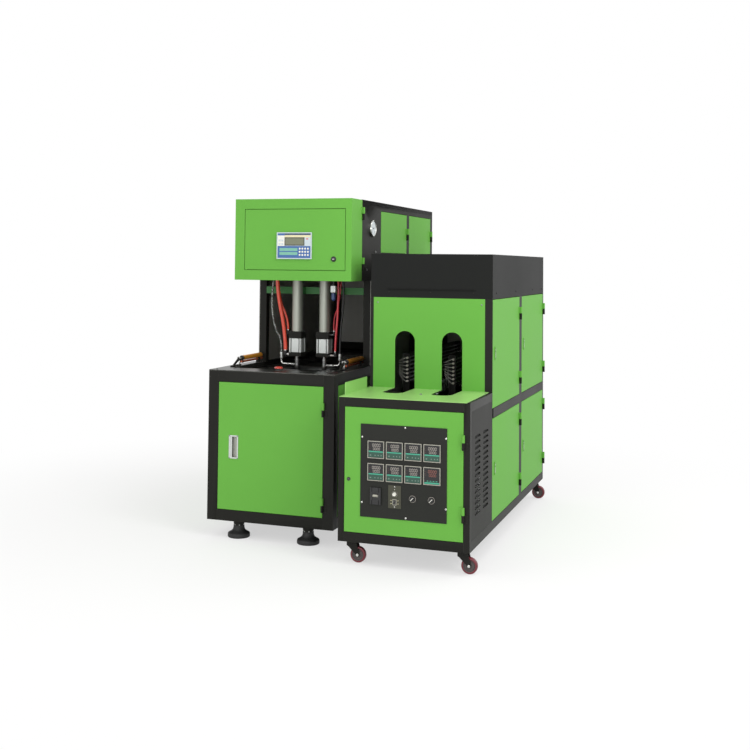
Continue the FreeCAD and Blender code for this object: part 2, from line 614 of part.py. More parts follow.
def stretch_rod(x):
    """Piston and thin rod that run down through the seal cylinder and its nozzle."""
    low = NOZZLE_BOTTOM + 4
    piston_z = BARREL_TOP - 10 - PISTON_H - 2
    shaft = round_bar(STRETCH_ROD_R, x, CAVITY_Y, low, Z, piston_z - low)
    piston = round_bar(BARREL_BORE_R - SLIDE_CLEARANCE, x, CAVITY_Y, piston_z, Z, PISTON_H)
    return fused(shaft, piston)


def seal_nozzle(x):
    """Hollow piston rod that ends in a flared nozzle over the preform's neck."""
    y = CAVITY_Y
    head_z = SEAL_BOTTOM + SEAL_FOOT_H + SEAL_STROKE + 2
    shaft = round_bar(NOZZLE_R, x, y, NOZZLE_BOTTOM + 20, Z, head_z - NOZZLE_BOTTOM - 20)
    piston = round_bar(SEAL_BORE_R - SLIDE_CLEARANCE, x, y, head_z, Z, 18)
    tip = Part.makeCone(NOZZLE_TIP_R - 5, NOZZLE_TIP_R, 12, Vector(x, y, NOZZLE_BOTTOM))
    collar = round_bar(NOZZLE_TIP_R, x, y, NOZZLE_BOTTOM + 12, Z, 12)
    bore = round_bar(ROD_CLEAR_R, x, y, NOZZLE_BOTTOM - 1, Z, head_z + 20 - NOZZLE_BOTTOM)
    return fused(shaft, piston, tip, collar).cut(bore)


# ---- mould clamp inside the base ----
def clamp_feet():
    span = MOULD_HALF + PLATEN_SHEET + CLAMP_STROKE + 14
    return CAVITY_Y - span - BASE_TUBE, CAVITY_Y + span


def clamp():
    """Fixed end plates, tie bars and cylinder, and two mould halves that rest open."""
    feet_y = clamp_feet()
    floor = BASE_BOTTOM + BASE_TUBE
    mould_z = MOULD_TOP - MOULD_H
    platen_z = MOULD_TOP - MOULD_H / 2 - PLATEN_H / 2
    half_w = BASE_W / 2 - BASE_TUBE - 20
    mid = TOWER_MID
    x0, x1 = mid - half_w + 14, mid + half_w - 14
    plate_top = platen_z + PLATEN_H
    y_front = feet_y[0] + BASE_TUBE - PLATEN_SHEET
    y_rear = feet_y[1]
    front_plate = block(x0, x1, y_front, y_front + PLATEN_SHEET, floor, plate_top)
    rear_plate = block(x0, x1, y_rear, y_rear + PLATEN_SHEET, floor, plate_top)
    bars = []
    bar_x = (x0 + TIE_BAR_R + 16, x1 - TIE_BAR_R - 16)
    bar_z = (platen_z + TIE_BAR_R + 14, plate_top - TIE_BAR_R - 14)
    start = y_front + PLATEN_SHEET
    for x in bar_x:
        for z in bar_z:
            bars.append(round_bar(TIE_BAR_R, x, start, z, Y, y_rear - start))
    cyl_z = MOULD_TOP - MOULD_H / 2
    cylinder = round_bar(CLAMP_CYLINDER_R, mid, y_rear + PLATEN_SHEET, cyl_z, Y, CLAMP_CYLINDER_L)
    rod_r = CLAMP_CYLINDER_R * 0.36
    rod_bore = round_bar(rod_r + SLIDE_CLEARANCE, mid, y_rear - 1, cyl_z, Y, PLATEN_SHEET + CLAMP_CYLINDER_L - 20)
    rear = fused(rear_plate, cylinder).cut(rod_bore)
    PARTS["clamp_frame"] = group(front_plate, rear, *bars)
    halves = []
    for way in (-1, 1):
        inner = CAVITY_Y + way * FACE_CLEARANCE / 2
        outer = inner + way * MOULD_HALF
        mould = block(mid - MOULD_W / 2, mid + MOULD_W / 2, min(inner, outer), max(inner, outer), mould_z, MOULD_TOP)
        for x in CAVITY_X:
            mould = mould.cut(bottle(x, mould_z))
        back = outer + way * PLATEN_SHEET
        platen = block(x0, x1, min(outer, back), max(outer, back), platen_z, plate_top)
        for x in bar_x:
            for z in bar_z:
                hole = round_bar(TIE_BAR_R + SLIDE_CLEARANCE, x, min(outer, back) - 1, z, Y, PLATEN_SHEET + 2)
                platen = platen.cut(hole)
        if way > 0:
            platen = fused(platen, round_bar(rod_r, mid, back, cyl_z, Y, y_rear + PLATEN_SHEET + 100 - back))
        halves.append(group(mould, platen).translated(Y * way * CLAMP_STROKE))
    PARTS["clamp_half_front"], PARTS["clamp_half_rear"] = halves


def bottle(x, z):
    """Bottle cavity: a round body under a long sloping shoulder, in one profile."""
    body_top = MOULD_H * 0.66
    points = [(0, 18), (CAVITY_R, 18), (CAVITY_R, body_top), (NECK_R, MOULD_H + 1), (0, MOULD_H + 1)]
    corners = [Vector(x + r, CAVITY_Y, z + h) for r, h in points]
    face = Part.Face(Part.makePolygon(corners + corners[:1]))
    return face.revolve(Vector(x, CAVITY_Y, 0), Z, 360)


# ---- side cylinders on the table ----
def side_cylinders():
    rear = TOWER_LOW_FRONT
    fixed, carriages = [], []
    for x, side in ((SIDE_CYL_X, -1), (BASE_W - SIDE_CYL_X, 1)):
        barrel_l = rear - SIDE_CYL_FRONT
        gold = round_bar(SIDE_CYL_R, x, SIDE_CYL_FRONT, SIDE_CYL_Z, Y, barrel_l)
        bore = round_bar(SIDE_CYL_BORE_R, x, SIDE_CYL_FRONT + 10, SIDE_CYL_Z, Y, barrel_l - 20)
        gland = round_bar(SIDE_ROD_R + SLIDE_CLEARANCE, x, SIDE_CYL_FRONT - 1, SIDE_CYL_Z, Y, 12)
        guide_z = SIDE_CYL_Z - SIDE_CYL_R - GUIDE_ROD_R - 1
        guide = round_bar(GUIDE_ROD_R, x, SIDE_CYL_FRONT, guide_z, Y, barrel_l)
        saddle = block(x - 9, x + 9, rear - 60, rear - 40, DECK_TOP, SIDE_CYL_Z - SIDE_CYL_R + 2)
        fixed.append(fused(gold, saddle, guide).cut(bore).cut(gland))
        carriages.append(carriage(x, guide_z))
    PARTS["side_cylinders"] = group(*fixed)
    PARTS["side_carriage_left"], PARTS["side_carriage_right"] = carriages


def carriage(x, guide_z):
    """Rod with piston, clevis and a bracket whose two legs slide on the table's side rail."""
    rod_end = SIDE_CYL_FRONT - 22
    piston_y = SIDE_CYL_FRONT + 10 + SIDE_STROKE + 6
    shaft = round_bar(SIDE_ROD_R, x, rod_end, SIDE_CYL_Z, Y, piston_y - rod_end)
    piston = round_bar(SIDE_CYL_BORE_R - SLIDE_CLEARANCE, x, piston_y, SIDE_CYL_Z, Y, 10)
    clevis = block(x - 9, x + 9, rod_end - 14, rod_end + 8, SIDE_CYL_Z - 8, SIDE_CYL_Z + 8)
    pin = round_bar(4, x - 13, rod_end - 4, SIDE_CYL_Z, X, 26)
    foot_z = DECK_TOP + SLIDE_CLEARANCE
    low = [(rod_end - 96, foot_z), (rod_end - 78, foot_z), (rod_end + 2, SIDE_CYL_Z - 6), (rod_end - 12, SIDE_CYL_Z + 5)]
    strut = profile(low, "x", x - 4, 8)
    leg = block(x - 4, x + 4, rod_end - 8, rod_end + 4, foot_z, SIDE_CYL_Z)
    shoe = block(x - 9, x + 9, rod_end - 98, rod_end + 6, foot_z, foot_z + 6)
    return fused(shaft, piston, clevis, pin, strut, leg, shoe)


# ---- air hoses between the manifold behind the head and the cylinders ----
def hose(points, radius):
    """Hose along straight runs joined by tangent arcs; prints its least bend radius."""
    path = [Vector(*p) for p in points]
    edges, at, least = [], path[0], None
    for before, corner, after in zip(path, path[1:], path[2:]):
        a, b = before - corner, after - corner
        turn = math.pi - a.getAngle(b)
        bend = 0.45 * min(a.Length, b.Length) / math.tan(turn / 2)
        least = bend if least is None else min(least, bend)
        back = bend * math.tan(turn / 2)
        a.normalize()
        b.normalize()
        start, end = corner + a * back, corner + b * back
        inward = a + b
        inward.normalize()
        middle = corner + inward * (bend / math.cos(turn / 2) - bend)
        edges += [Part.LineSegment(at, start).toShape(), Part.Arc(start, middle, end).toShape()]
        at = end
    edges.append(Part.LineSegment(at, path[-1]).toShape())
    wire = Part.Wire(edges)
    section = Part.Wire(Part.makeCircle(radius, path[0], path[1] - path[0]))
    solid = wire.makePipeShell([section], True, False)
    print("hose", round(wire.Length), "mm long, least bend", round(least or 0), "mm, volume ratio",
          round(solid.Volume / (math.pi * radius ** 2 * wire.Length), 3))
    return solid


HOSE_TOP = HEAD_BOTTOM + TOWER_TUBE - FACE_CLEARANCE
BIG_HOSE_R = 10.0
SMALL_HOSE_R = 6.0
TEE_HOSE_R = 3.0
GREY_HOSE_R = 5.0
PORT_Z = SEAL_BOTTOM + SEAL_FOOT_H / 2
TOP_PORT_Z = SEAL_TOP - 14
PORT_H = 22.0
PORT_Y = CAVITY_Y - 15
PIPE_R = 6.0
PIPE_Z = SEAL_BOTTOM - 30
COUPLING_Z = PIPE_Z + 63
COUPLING_H = 35.0
FILTER_DROP = 130.5
FILTER_R = 15.0
FILTER_BOWL_H = 44.0
FILTER_CAP_W = 38.0
FILTER_CAP_H = 37.0
FILTER_NECK_R = 7.0


def fall(share, end):
    """Height at a share of the way down from the manifold to a fitting."""
    return HOSE_TOP - share * (HOSE_TOP - end)


def hoses():
    """Air hoses; each comes down into an upright fitting on the cylinder's side."""
    left_x, right_x = CAVITY_X[0] - SEAL_BLOCK / 2, CAVITY_X[1] + SEAL_BLOCK / 2
    low, high = (z + PORT_H + FACE_CLEARANCE for z in (PORT_Z, TOP_PORT_Z))
    y = PORT_Y
    big = [(left_x - 66, y - 20, HOSE_TOP), (left_x - 66, y - 20, fall(0.235, low)),
           (left_x - 30, y, fall(0.753, low)), (left_x - 26, y, low)]
    branch = [(left_x - 48, y + 10, HOSE_TOP), (left_x - 56, y + 10, fall(0.445, high)),
              (left_x - 18, y + 15, fall(0.829, high)), (left_x - 18, y + 15, high)]
    right = [(right_x + 40, y, HOSE_TOP), (right_x + 42, y, fall(0.447, low)),
             (right_x + 22, y, fall(0.871, low)), (right_x + 22, y, low)]
    tee = [(right_x + 50, y + 22, HOSE_TOP), (right_x + 44, y + 22, fall(0.509, high)),
           (right_x + 8, y + 15, fall(0.797, high)), (right_x + 14, y + 15, high)]
    PARTS["red_hoses"] = group(hose(big, BIG_HOSE_R), hose(branch, SMALL_HOSE_R),
                               hose(right, SMALL_HOSE_R), hose(tee, TEE_HOSE_R))
    left_pipe, right_pipe = left_x - 46, right_x + 44
    grey = [(left_pipe - 46, y, HOSE_TOP), (left_pipe - 66, y, fall(0.352, COUPLING_Z)),
            (left_pipe - 40, y + 6, fall(0.729, COUPLING_Z)), (left_pipe, CAVITY_Y, fall(0.823, COUPLING_Z)),
            (left_pipe, CAVITY_Y, COUPLING_Z)]
    black = [(right_pipe + 16, y + 30, HOSE_TOP), (right_pipe + 20, y + 28, fall(0.399, COUPLING_Z)),
             (right_pipe, CAVITY_Y, fall(0.729, COUPLING_Z)), (right_pipe, CAVITY_Y, COUPLING_Z)]
    cleaner = air_filter(right_x + 8, y - 30)
    PARTS["air_line"] = group(hose(grey, GREY_HOSE_R), hose(black, GREY_HOSE_R), cleaner)


def air_filter(x, y):
    """Small air filter: a round bowl under a square cap, hung by its neck."""
    bowl_z = HOSE_TOP - FILTER_DROP
    cap_z = bowl_z + FILTER_BOWL_H
    neck_z = cap_z + FILTER_CAP_H
    half = FILTER_CAP_W / 2
    bowl = round_bar(FILTER_R, x, y, bowl_z, Z, FILTER_BOWL_H)
    cap = block(x - half, x + half, y - half + 1, y + half - 1, cap_z, neck_z)
    neck = round_bar(FILTER_NECK_R, x, y, neck_z, Z, HOSE_TOP - neck_z)
    return fused(bowl, cap, neck)


def fittings(x, side):
    """Side ports of one seal cylinder and the bent pipe from its blow head to a coupling."""
    face = x + side * SEAL_BLOCK / 2
    reach_low, reach_high = (26, 18) if side < 0 else (22, 14)
    pieces = []
    for z, reach, radius, y in ((PORT_Z, reach_low, BIG_HOSE_R, PORT_Y), (TOP_PORT_Z, reach_high, SMALL_HOSE_R, CAVITY_Y)):
        pieces.append(round_bar(radius - 2, min(face, face + side * reach), y, z, X, reach))
        pieces.append(round_bar(radius + 1, face + side * reach, y, z - radius, Z, PORT_H + radius))
    pipe_x = face + side * (46 if side < 0 else 44)
    sleeve_z = COUPLING_Z - COUPLING_H
    bent = [(x + side * 20, CAVITY_Y, PIPE_Z), (pipe_x, CAVITY_Y, PIPE_Z), (pipe_x, CAVITY_Y, sleeve_z + 5)]
    pieces.append(hose(bent, PIPE_R))
    pieces.append(round_bar(PIPE_R + 3, pipe_x, CAVITY_Y, sleeve_z, Z, COUPLING_H))
    pieces.append(round_bar(NOZZLE_R + 8, x, CAVITY_Y, PIPE_Z - 10, Z, SEAL_BOTTOM - PIPE_Z + 10))
    return pieces


# ---- heater frame, shelf, panels and cover ----
def heater():
    left, right, front, back = HEATER_L, HEATER_R, HEATER_FRONT, HEATER_BACK
    t, z0, zs = HEATER_TUBE, HEATER_BOTTOM, SHELF_UNDER
    oven, mid = OVEN_FRONT, MID_POST_Y
    rail_top = z0 + BOTTOM_RAIL_H
    inner_x = right - DOOR_DEPTH
    frame = {}
    frame["front left post"] = tube(left, left + t, front, front + t, z0, zs, "z")
    frame["front right post"] = tube(right - t, right, front, front + t, z0, zs, "z")
    frame["rear left post"] = tube(left, left + t, back - REAR_POST_W, back, z0, OVEN_TOP, "z")
    frame["rear right post"] = tube(right - t, right, back - REAR_POST_W, back, z0, OVEN_TOP, "z")
    frame["oven left post"] = tube(left, left + OVEN_LEFT_POST, oven, oven + t, rail_top, OVEN_TOP, "z")
    strip = block(right - OVEN_RIGHT_POST, right, oven, oven + SKIN, rail_top, OVEN_TOP)
    core = block(right - OVEN_RIGHT_POST, inner_x, oven, oven + t, rail_top, OVEN_TOP)
    frame["oven right post"] = fused(strip, core)
    frame["mid right post"] = tube(right - t, right, mid, mid + MID_POST_W, rail_top, OVEN_TOP, "z")
    frame["mid left post"] = tube(left, left + t, mid, mid + MID_POST_W, rail_top, OVEN_TOP, "z")
    frame["front bottom rail"] = tube(left + t, right - t, front, front + t, z0, rail_top, "x")
    frame["front shelf rail"] = tube(left + t, right - t, front, front + t, zs - SHELF_RAIL_H, zs, "x")
    rear_y = back - REAR_POST_W
    frame["rear bottom rail"] = tube(left + t, right - t, rear_y, back, z0, rail_top, "x")
    top, rim = OVEN_TOP + TOP_RAIL_H, SKIN
    frame["oven top rail"] = tube(left + rim, right - rim, oven + rim, oven + rim + t, OVEN_TOP, top, "x")
    frame["rear top rail"] = tube(left + rim, right - rim, back - rim - t, back - rim, OVEN_TOP, top, "x")
    for name, x in (("left", left), ("right", right - t)):
        frame[name + " bottom rail"] = tube(x, x + t, front + t, rear_y, z0, rail_top, "y")
        frame[name + " shelf rail"] = tube(x, x + t, front + t, oven, zs - SHELF_RAIL_H, zs, "y")
        for part, y0, y1 in (("front", oven + t, mid), ("rear", mid + MID_POST_W, rear_y)):
            frame[f"{name} {part} middle rail"] = tube(x, x + t, y0, y1, MID_RAIL_Z, MID_RAIL_TOP, "y")
        lift = rim if name == "left" else -rim
        frame[name + " top rail"] = tube(x + lift, x + lift + t, oven + rim + t, back - rim - t, OVEN_TOP, top, "y")
    side_doors(frame)
    front_door(frame)
    chain_bed(frame)
    PARTS["heater_frame"] = group(*frame.values())
    PARTS["shelf"] = shelf()
    PARTS["arched_panel"] = arched_panel()
    skins = [louvred_panel()]
    skins.append(block(left, left + SKIN, front + t, oven, rail_top, zs - SHELF_RAIL_H))
    for y0, y1 in ((oven + t, mid), (mid + MID_POST_W, rear_y)):
        for low, high in ((rail_top, MID_RAIL_Z), (MID_RAIL_TOP, OVEN_TOP)):
            skins.append(block(left, left + SKIN, y0, y1, low, high))
    skins.append(block(left + t, right - t, back - SKIN, back, rail_top, OVEN_TOP))
    PARTS["heater_panels"] = group(*skins)
    PARTS["top_cover"] = cover()


def side_doors(frame):
    """Four hinged side doors; each hangs from the post behind its rear edge."""
    gap, oven, mid, back = DOOR_GAP, OVEN_FRONT, MID_POST_Y, HEATER_BACK
    x0, x1 = HEATER_R - DOOR_DEPTH, HEATER_R
    spans = {"front": (oven + SKIN + gap, mid - gap), "rear": (mid + MID_POST_W + gap, back - REAR_POST_W - gap)}
    rows = {"upper": (MID_RAIL_TOP + gap, OVEN_TOP - gap),
            "lower": (HEATER_BOTTOM + BOTTOM_RAIL_H + gap, MID_RAIL_Z - gap)}
    posts = {"front": "mid right post", "rear": "rear right post"}
    for row, (z0, z1) in rows.items():
        for span, (y0, y1) in spans.items():
            door = pan(x0 + gap, x1, y0, y1, z0, z1, "-x")
            lock_z = (z0 + z1) / 2
            lock = block(x1 - 1, x1 + 4, y0 + 42, y0 + 60, lock_z - 32, lock_z + 32)
            door = door.fuse(lock)
            lines = [z0 + (z1 - z0) * share for share in (0.17, 0.83)]
            hinges = [(x1, y1 + gap / 2, z, Y * -1, X) for z in lines]
            PARTS[f"side_door_{row}_{span}"], frame[posts[span]] = hung(door, frame[posts[span]], hinges)


def shelf():
    """Loading shelf: one sheet with two round-ended slots and an upstand on its left."""
    x0, x1 = HEATER_L, HEATER_R - SHELF_RIGHT_MARGIN
    sheet = block(x0, x1, HEATER_FRONT, OVEN_FRONT, SHELF_UNDER, SHELF_Z)
    fin_start, fin_end = HEATER_FRONT + 80, OVEN_FRONT - 60
    fin = block(x0, x0 + SHELF_SHEET, fin_start, fin_end, SHELF_Z, SHELF_Z + SHELF_FIN_H)
    result = fused(sheet, fin)
    for x in arch_lines():
        radius = ARCH_W / 2
        straight = block(x - radius, x + radius, SLOT_TIP + radius, OVEN_FRONT + 1, SHELF_UNDER - 1, SHELF_Z + 1)
        tip = round_bar(radius, x, SLOT_TIP + radius, SHELF_UNDER - 1, Z, SHELF_SHEET + 2)
        result = result.cut(straight).cut(tip)
    return result


def arch_lines():
    return ARCH_FIRST, ARCH_FIRST + ARCH_PITCH


def arched_panel():
    """Front sheet of the oven with two round-topped openings."""
    x0, x1 = HEATER_L + OVEN_LEFT_POST, HEATER_R - OVEN_RIGHT_POST
    sheet = block(x0, x1, OVEN_FRONT, OVEN_FRONT + SKIN, SHELF_UNDER, OVEN_TOP)
    radius = ARCH_W / 2
    spring = ARCH_TOP - radius
    for x in arch_lines():
        straight = block(x - radius, x + radius, OVEN_FRONT - 1, OVEN_FRONT + SKIN + 1, SHELF_UNDER - 1, spring)
        round_top = round_bar(radius, x, OVEN_FRONT - 1, spring, Y, SKIN + 2)
        sheet = sheet.cut(straight).cut(round_top)
    return sheet


def louvred_panel():
    """Side sheet of the control bay with two columns of air slots."""
    y0, y1 = HEATER_FRONT + HEATER_TUBE, OVEN_FRONT
    x1 = HEATER_R
    z0, z1 = HEATER_BOTTOM + BOTTOM_RAIL_H, SHELF_UNDER - SHELF_RAIL_H
    sheet = block(x1 - SKIN, x1, y0, y1, z0, z1)
    slots = []
    for centre in (y0 + (y1 - y0) * 0.29, y0 + (y1 - y0) * 0.68):
        for row in range(LOUVRE_COUNT):
            z = LOUVRE_Z + row * LOUVRE_PITCH
            slots.append(block(x1 - 2 * SKIN, x1 + SKIN, centre - LOUVRE_W / 2, centre + LOUVRE_W / 2,
                               z, z + LOUVRE_H))
    return sheet.cut(slots)


def cover():
    """Folded hood over the oven, open below, with a short lip across its front."""
    left, right, front, back = HEATER_L, HEATER_R, OVEN_FRONT, HEATER_BACK
    shell = block(left, right, front, back, OVEN_TOP, COVER_TOP)
    shell = shell.cut(block(left + SKIN, right - SKIN, front + SKIN, back - SKIN, OVEN_TOP - 1, COVER_TOP - SKIN))
    lip_z = OVEN_TOP + TOP_RAIL_H
    lip = block(left + LIP_MARGIN, right - LIP_MARGIN, front - LIP_DEPTH, front, lip_z - SKIN, lip_z)
    return fused(shell, lip)


LIP_MARGIN = 86.0
LIP_DEPTH = 6.0


# ---- control door of the heater ----
def front_door(frame):
    t, gap = HEATER_TUBE, DOOR_GAP
    x0, x1 = HEATER_L + t + gap, HEATER_R - t - gap
    z0, z1 = HEATER_BOTTOM + BOTTOM_RAIL_H + gap, SHELF_UNDER - SHELF_RAIL_H - gap
    y = HEATER_FRONT
    door = pan(x0, x1, y, y + DOOR_DEPTH, z0, z1, "+y")
    inset = 14
    door = door.cut(block(CONTROL_X + inset, CONTROL_X + CONTROL_W - inset, y - 1, y + SHEET + 1,
                          CONTROL_Z + inset, CONTROL_Z + CONTROL_H - inset))
    lines = [z0 + (z1 - z0) * share for share in (0.21, 0.77)]
    hinges = [(x1 + gap / 2, y, z, X * -1, Y * -1) for z in lines]
    door, frame["front right post"] = hung(door, frame["front right post"], hinges)
    PARTS["heater_door"] = door
    face = CONTROL_FACE
    plate = block(CONTROL_X, CONTROL_X + CONTROL_W, face, y, CONTROL_Z, CONTROL_Z + CONTROL_H)
    meters = []
    for column in range(4):
        for row in range(2):
            x = METER_X + column * METER_PITCH_X
            z = METER_Z + row * METER_PITCH_Z
            plate = plate.cut(block(x + 3, x + METER - 3, face - 1, y + 1, z + 3, z + METER - 3))
            meters.append(meter(x, z))
    bx, bz = BREAKER_X, BREAKER_Z
    breaker = block(bx, bx + BREAKER_W, face - 8, face, bz, bz + BREAKER_H)
    breaker = breaker.cut(block(bx + 12, bx + BREAKER_W - 12, face - 9, face, bz + 22, bz + BREAKER_H - 22))
    regulator = block(REG_X, REG_X + REG_W, face - 3, face, REG_Z, REG_Z + REG_H)
    plate = plate.cut(block(bx + 12, bx + BREAKER_W - 12, face - 9, y + 1, bz + 22, bz + BREAKER_H - 22))
    plate = fused(plate, breaker, regulator)
    rx, rz = rocker_place()
    plate = plate.cut(block(rx - ROCKER_W / 2, rx + ROCKER_W / 2, face - 4, y + 1, rz - ROCKER_H / 2, rz + ROCKER_H / 2))
    knobs = {"speed_knob": (REG_X + REG_W / 2, REG_Z + REG_H * 0.62, 9.0, 12.0, 3.0),
             "selector_left": (SELECTOR_X, SELECTOR_Z, SELECTOR_R, 14.0, 0.0),
             "selector_right": (SELECTOR_X + METER_PITCH_X, SELECTOR_Z, SELECTOR_R, 14.0, 0.0)}
    for name, (x, z, radius, depth, raised) in knobs.items():
        bore = round_bar(KNOB_SHAFT_R + SLIDE_CLEARANCE, x, face - 4, z, Y, CONTROL_SHEET + 5)
        plate = plate.cut(bore)
        PARTS[name] = knob(x, face - raised, z, radius, depth, 0 if name == "speed_knob" else SELECTOR_REST)
    lever_x, lever_z = bx + BREAKER_W / 2, bz + BREAKER_H / 2
    for x, y, z, reach in ((lever_x, LEVER_AXIS_Y, lever_z, LEVER_W / 2 + 5), (rx, CONTROL_FACE, rz, ROCKER_W / 2 + 3)):
        plate = plate.cut(round_bar(PIVOT_R + PIN_CLEARANCE, x - reach, y, z, X, 2 * reach))
    PARTS["breaker_lever"] = breaker_lever(lever_x, lever_z)
    PARTS["rocker_switch"] = rocker(rx, rz)
    PARTS["control_panel"] = group(plate, *meters)


BREAKER_X, BREAKER_Z, BREAKER_W, BREAKER_H = 963.0, 291.0, 53.0, 78.0
REG_X, REG_Z, REG_W, REG_H = 1050.0, 280.0, 62.0, 105.0
ROCKER_W, ROCKER_H, ROCKER_TILT = 14.0, 22.0, 9.0
SELECTOR_X, SELECTOR_Z, SELECTOR_R = 1166.0, 329.0, 15.0
SELECTOR_REST = 45.0
KNOB_SHAFT_R = 4.0


def rocker_place():
    return REG_X + REG_W / 2, REG_Z + REG_H * 0.27


def meter(x, z):
    """Panel meter: a square bezel on the plate and its case behind it."""
    face = CONTROL_FACE
    bezel = block(x, x + METER, face - METER_DEPTH, face, z, z + METER)
    glass = block(x + 5, x + METER - 5, face - METER_DEPTH - 1, face - METER_DEPTH + 2, z + 5, z + METER - 5)
    case = block(x + 4, x + METER - 4, face, HEATER_FRONT + 60, z + 4, z + METER - 4)
    return fused(bezel.cut(glass), case)


def knob(x, y, z, radius, depth, rest):
    """Selector knob: a round base and a raised bar grip, on a short shaft."""
    base_disc = round_bar(radius, x, y - depth * 0.5, z, Y, depth * 0.5 - SLIDE_CLEARANCE)
    grip = block(x - radius * 0.28, x + radius * 0.28, y - depth, y - depth * 0.4, z - radius * 0.9, z + radius * 0.9)
    shaft = round_bar(KNOB_SHAFT_R, x, y - 1, z, Y, CONTROL_SHEET + 1)
    return fused(base_disc, grip.rotated(Vector(x, y, z), Y, rest), shaft)


def breaker_lever(x, z):
    """Breaker toggle: a pivoted hub in the housing's window with a short lever."""
    y = LEVER_AXIS_Y
    hub = round_bar(LEVER_HUB_R, x - LEVER_W / 2, y, z, X, LEVER_W)
    pin = round_bar(PIVOT_R, x - LEVER_W / 2 - 4, y, z, X, LEVER_W + 8)
    arm = block(x - LEVER_W / 2 + 3, x + LEVER_W / 2 - 3, y - 16, y, z - 4, z + 4)
    return fused(hub, pin, arm.rotated(Vector(x, y, z), X, BREAKER_REST))


BREAKER_REST = -18.0
LEVER_HUB_R = 7.0
LEVER_W = BREAKER_W - 26
LEVER_AXIS_Y = CONTROL_FACE - 1
PIVOT_R = 1.5


def rocker(x, z):
    """Rocker switch: a shallow vee face on a pin inside the regulator plate."""
    y = CONTROL_FACE
    half_w, half_h = ROCKER_W / 2 - 1, ROCKER_H / 2 - 2.4
    outline = [(y - 7, z - half_h), (y - 4.6, z), (y - 7, z + half_h), (y + 2.4, z + half_h - 3),
               (y + 2.4, z - half_h + 3)]
    body = profile(outline, "x", x - half_w, 2 * half_w)
    pin = round_bar(PIVOT_R, x - half_w - 3, y, z, X, 2 * half_w + 6)
    return fused(body, pin).rotated(Vector(x, y, z), X, -ROCKER_TILT)


# ---- spindle chain, sprockets, bed, drive and lamps ----
def pin_places():
    """Chain pins: up the left lane, round the rear sprocket, down the right lane, round the front."""
    places = []
    step = math.pi / (SPROCKET_TEETH / 2)
    left, right = LANE_MID - CHAIN_R, LANE_MID + CHAIN_R
    for index in range(RUN_PITCHES):
        places.append((left, SPROCKET_Y + index * SPINDLE_PITCH))
    for index in range(SPROCKET_TEETH // 2):
        angle = math.pi - index * step
        places.append((LANE_MID + CHAIN_R * math.cos(angle), REAR_SPROCKET_Y + CHAIN_R * math.sin(angle)))
    for index in range(RUN_PITCHES):
        places.append((right, REAR_SPROCKET_Y - index * SPINDLE_PITCH))
    for index in range(SPROCKET_TEETH // 2):
        angle = -index * step
        places.append((LANE_MID + CHAIN_R * math.cos(angle), SPROCKET_Y + CHAIN_R * math.sin(angle)))
    return places


def spindle_chain():
    """Each pitch has a flat link plate, alternately low and high, and an upright spindle."""
    places = pin_places()
    solids = []
    for index, (x, y) in enumerate(places):
        nx, ny = places[(index + 1) % len(places)]
        along = Vector(nx - x, ny - y, 0)
        along.normalize()
        across = Vector(-along.y, along.x, 0) * (LINK_W / 2)
        level = CHAIN_Z + (index % 2) * (LINK_T + LINK_GAP)
        start = Vector(x, y, level) - along * (LINK_W / 2)
        end = Vector(nx, ny, level) + along * (LINK_W / 2)
        outline = [start - across, end - across, end + across, start + across]
        face = Part.Face(Part.makePolygon(outline + outline[:1]))
        solids.append(face.extrude(Z * LINK_T))
        top = CHAIN_Z + 2 * LINK_T + 2 * LINK_GAP
        solids.append(hexagon(SPINDLE_R, x, y, top, SPINDLE_H))
    PARTS["spindle_chain"] = group(*solids)
    PARTS["front_sprocket"] = sprocket(SPROCKET_Y)
    PARTS["rear_sprocket"] = sprocket(REAR_SPROCKET_Y)


def hexagon(radius, x, y, z, height):
    """Upright six-sided bar."""
    turns = [math.pi / 3 * step for step in range(6)]
    outline = [(x + radius * math.cos(turn), y + radius * math.sin(turn)) for turn in turns]
    return profile(outline, "z", z, height)


def sprocket(y):
    """Chain wheel: four-sided teeth between the chain's pins, a hub and its upright shaft."""
    z = CHAIN_Z - LINK_GAP - SPROCKET_T
    pitch = 2 * math.pi / SPROCKET_TEETH
    tooth = [(0.5 - ROOT_SHARE, -BUSH_R), (0.5 - TIP_SHARE, BUSH_R), (0.5 + TIP_SHARE, BUSH_R),
             (0.5 + ROOT_SHARE, -BUSH_R)]
    outline = []
    for index in range(SPROCKET_TEETH):
        for share, rise in tooth:
            angle = (index + share) * pitch
            radius = CHAIN_R + rise
            outline.append((LANE_MID + radius * math.cos(angle), y + radius * math.sin(angle)))
    disc = profile(outline, "z", z, SPROCKET_T)
    hub = round_bar(28, LANE_MID, y, z - 14, Z, 14)
    shaft = round_bar(SHAFT_R, LANE_MID, y, BED_Z - BED_T - 6, Z, z - 14 - BED_Z + BED_T + 6)
    return fused(disc, hub, shaft)


ROOT_SHARE, TIP_SHARE = 0.26, 0.12
SHAFT_R = 12.0
BED_T = 8.0
BED_Z = 664.0
RAIL_SHEET = 6.0
RAIL_CLEAR = 52.0


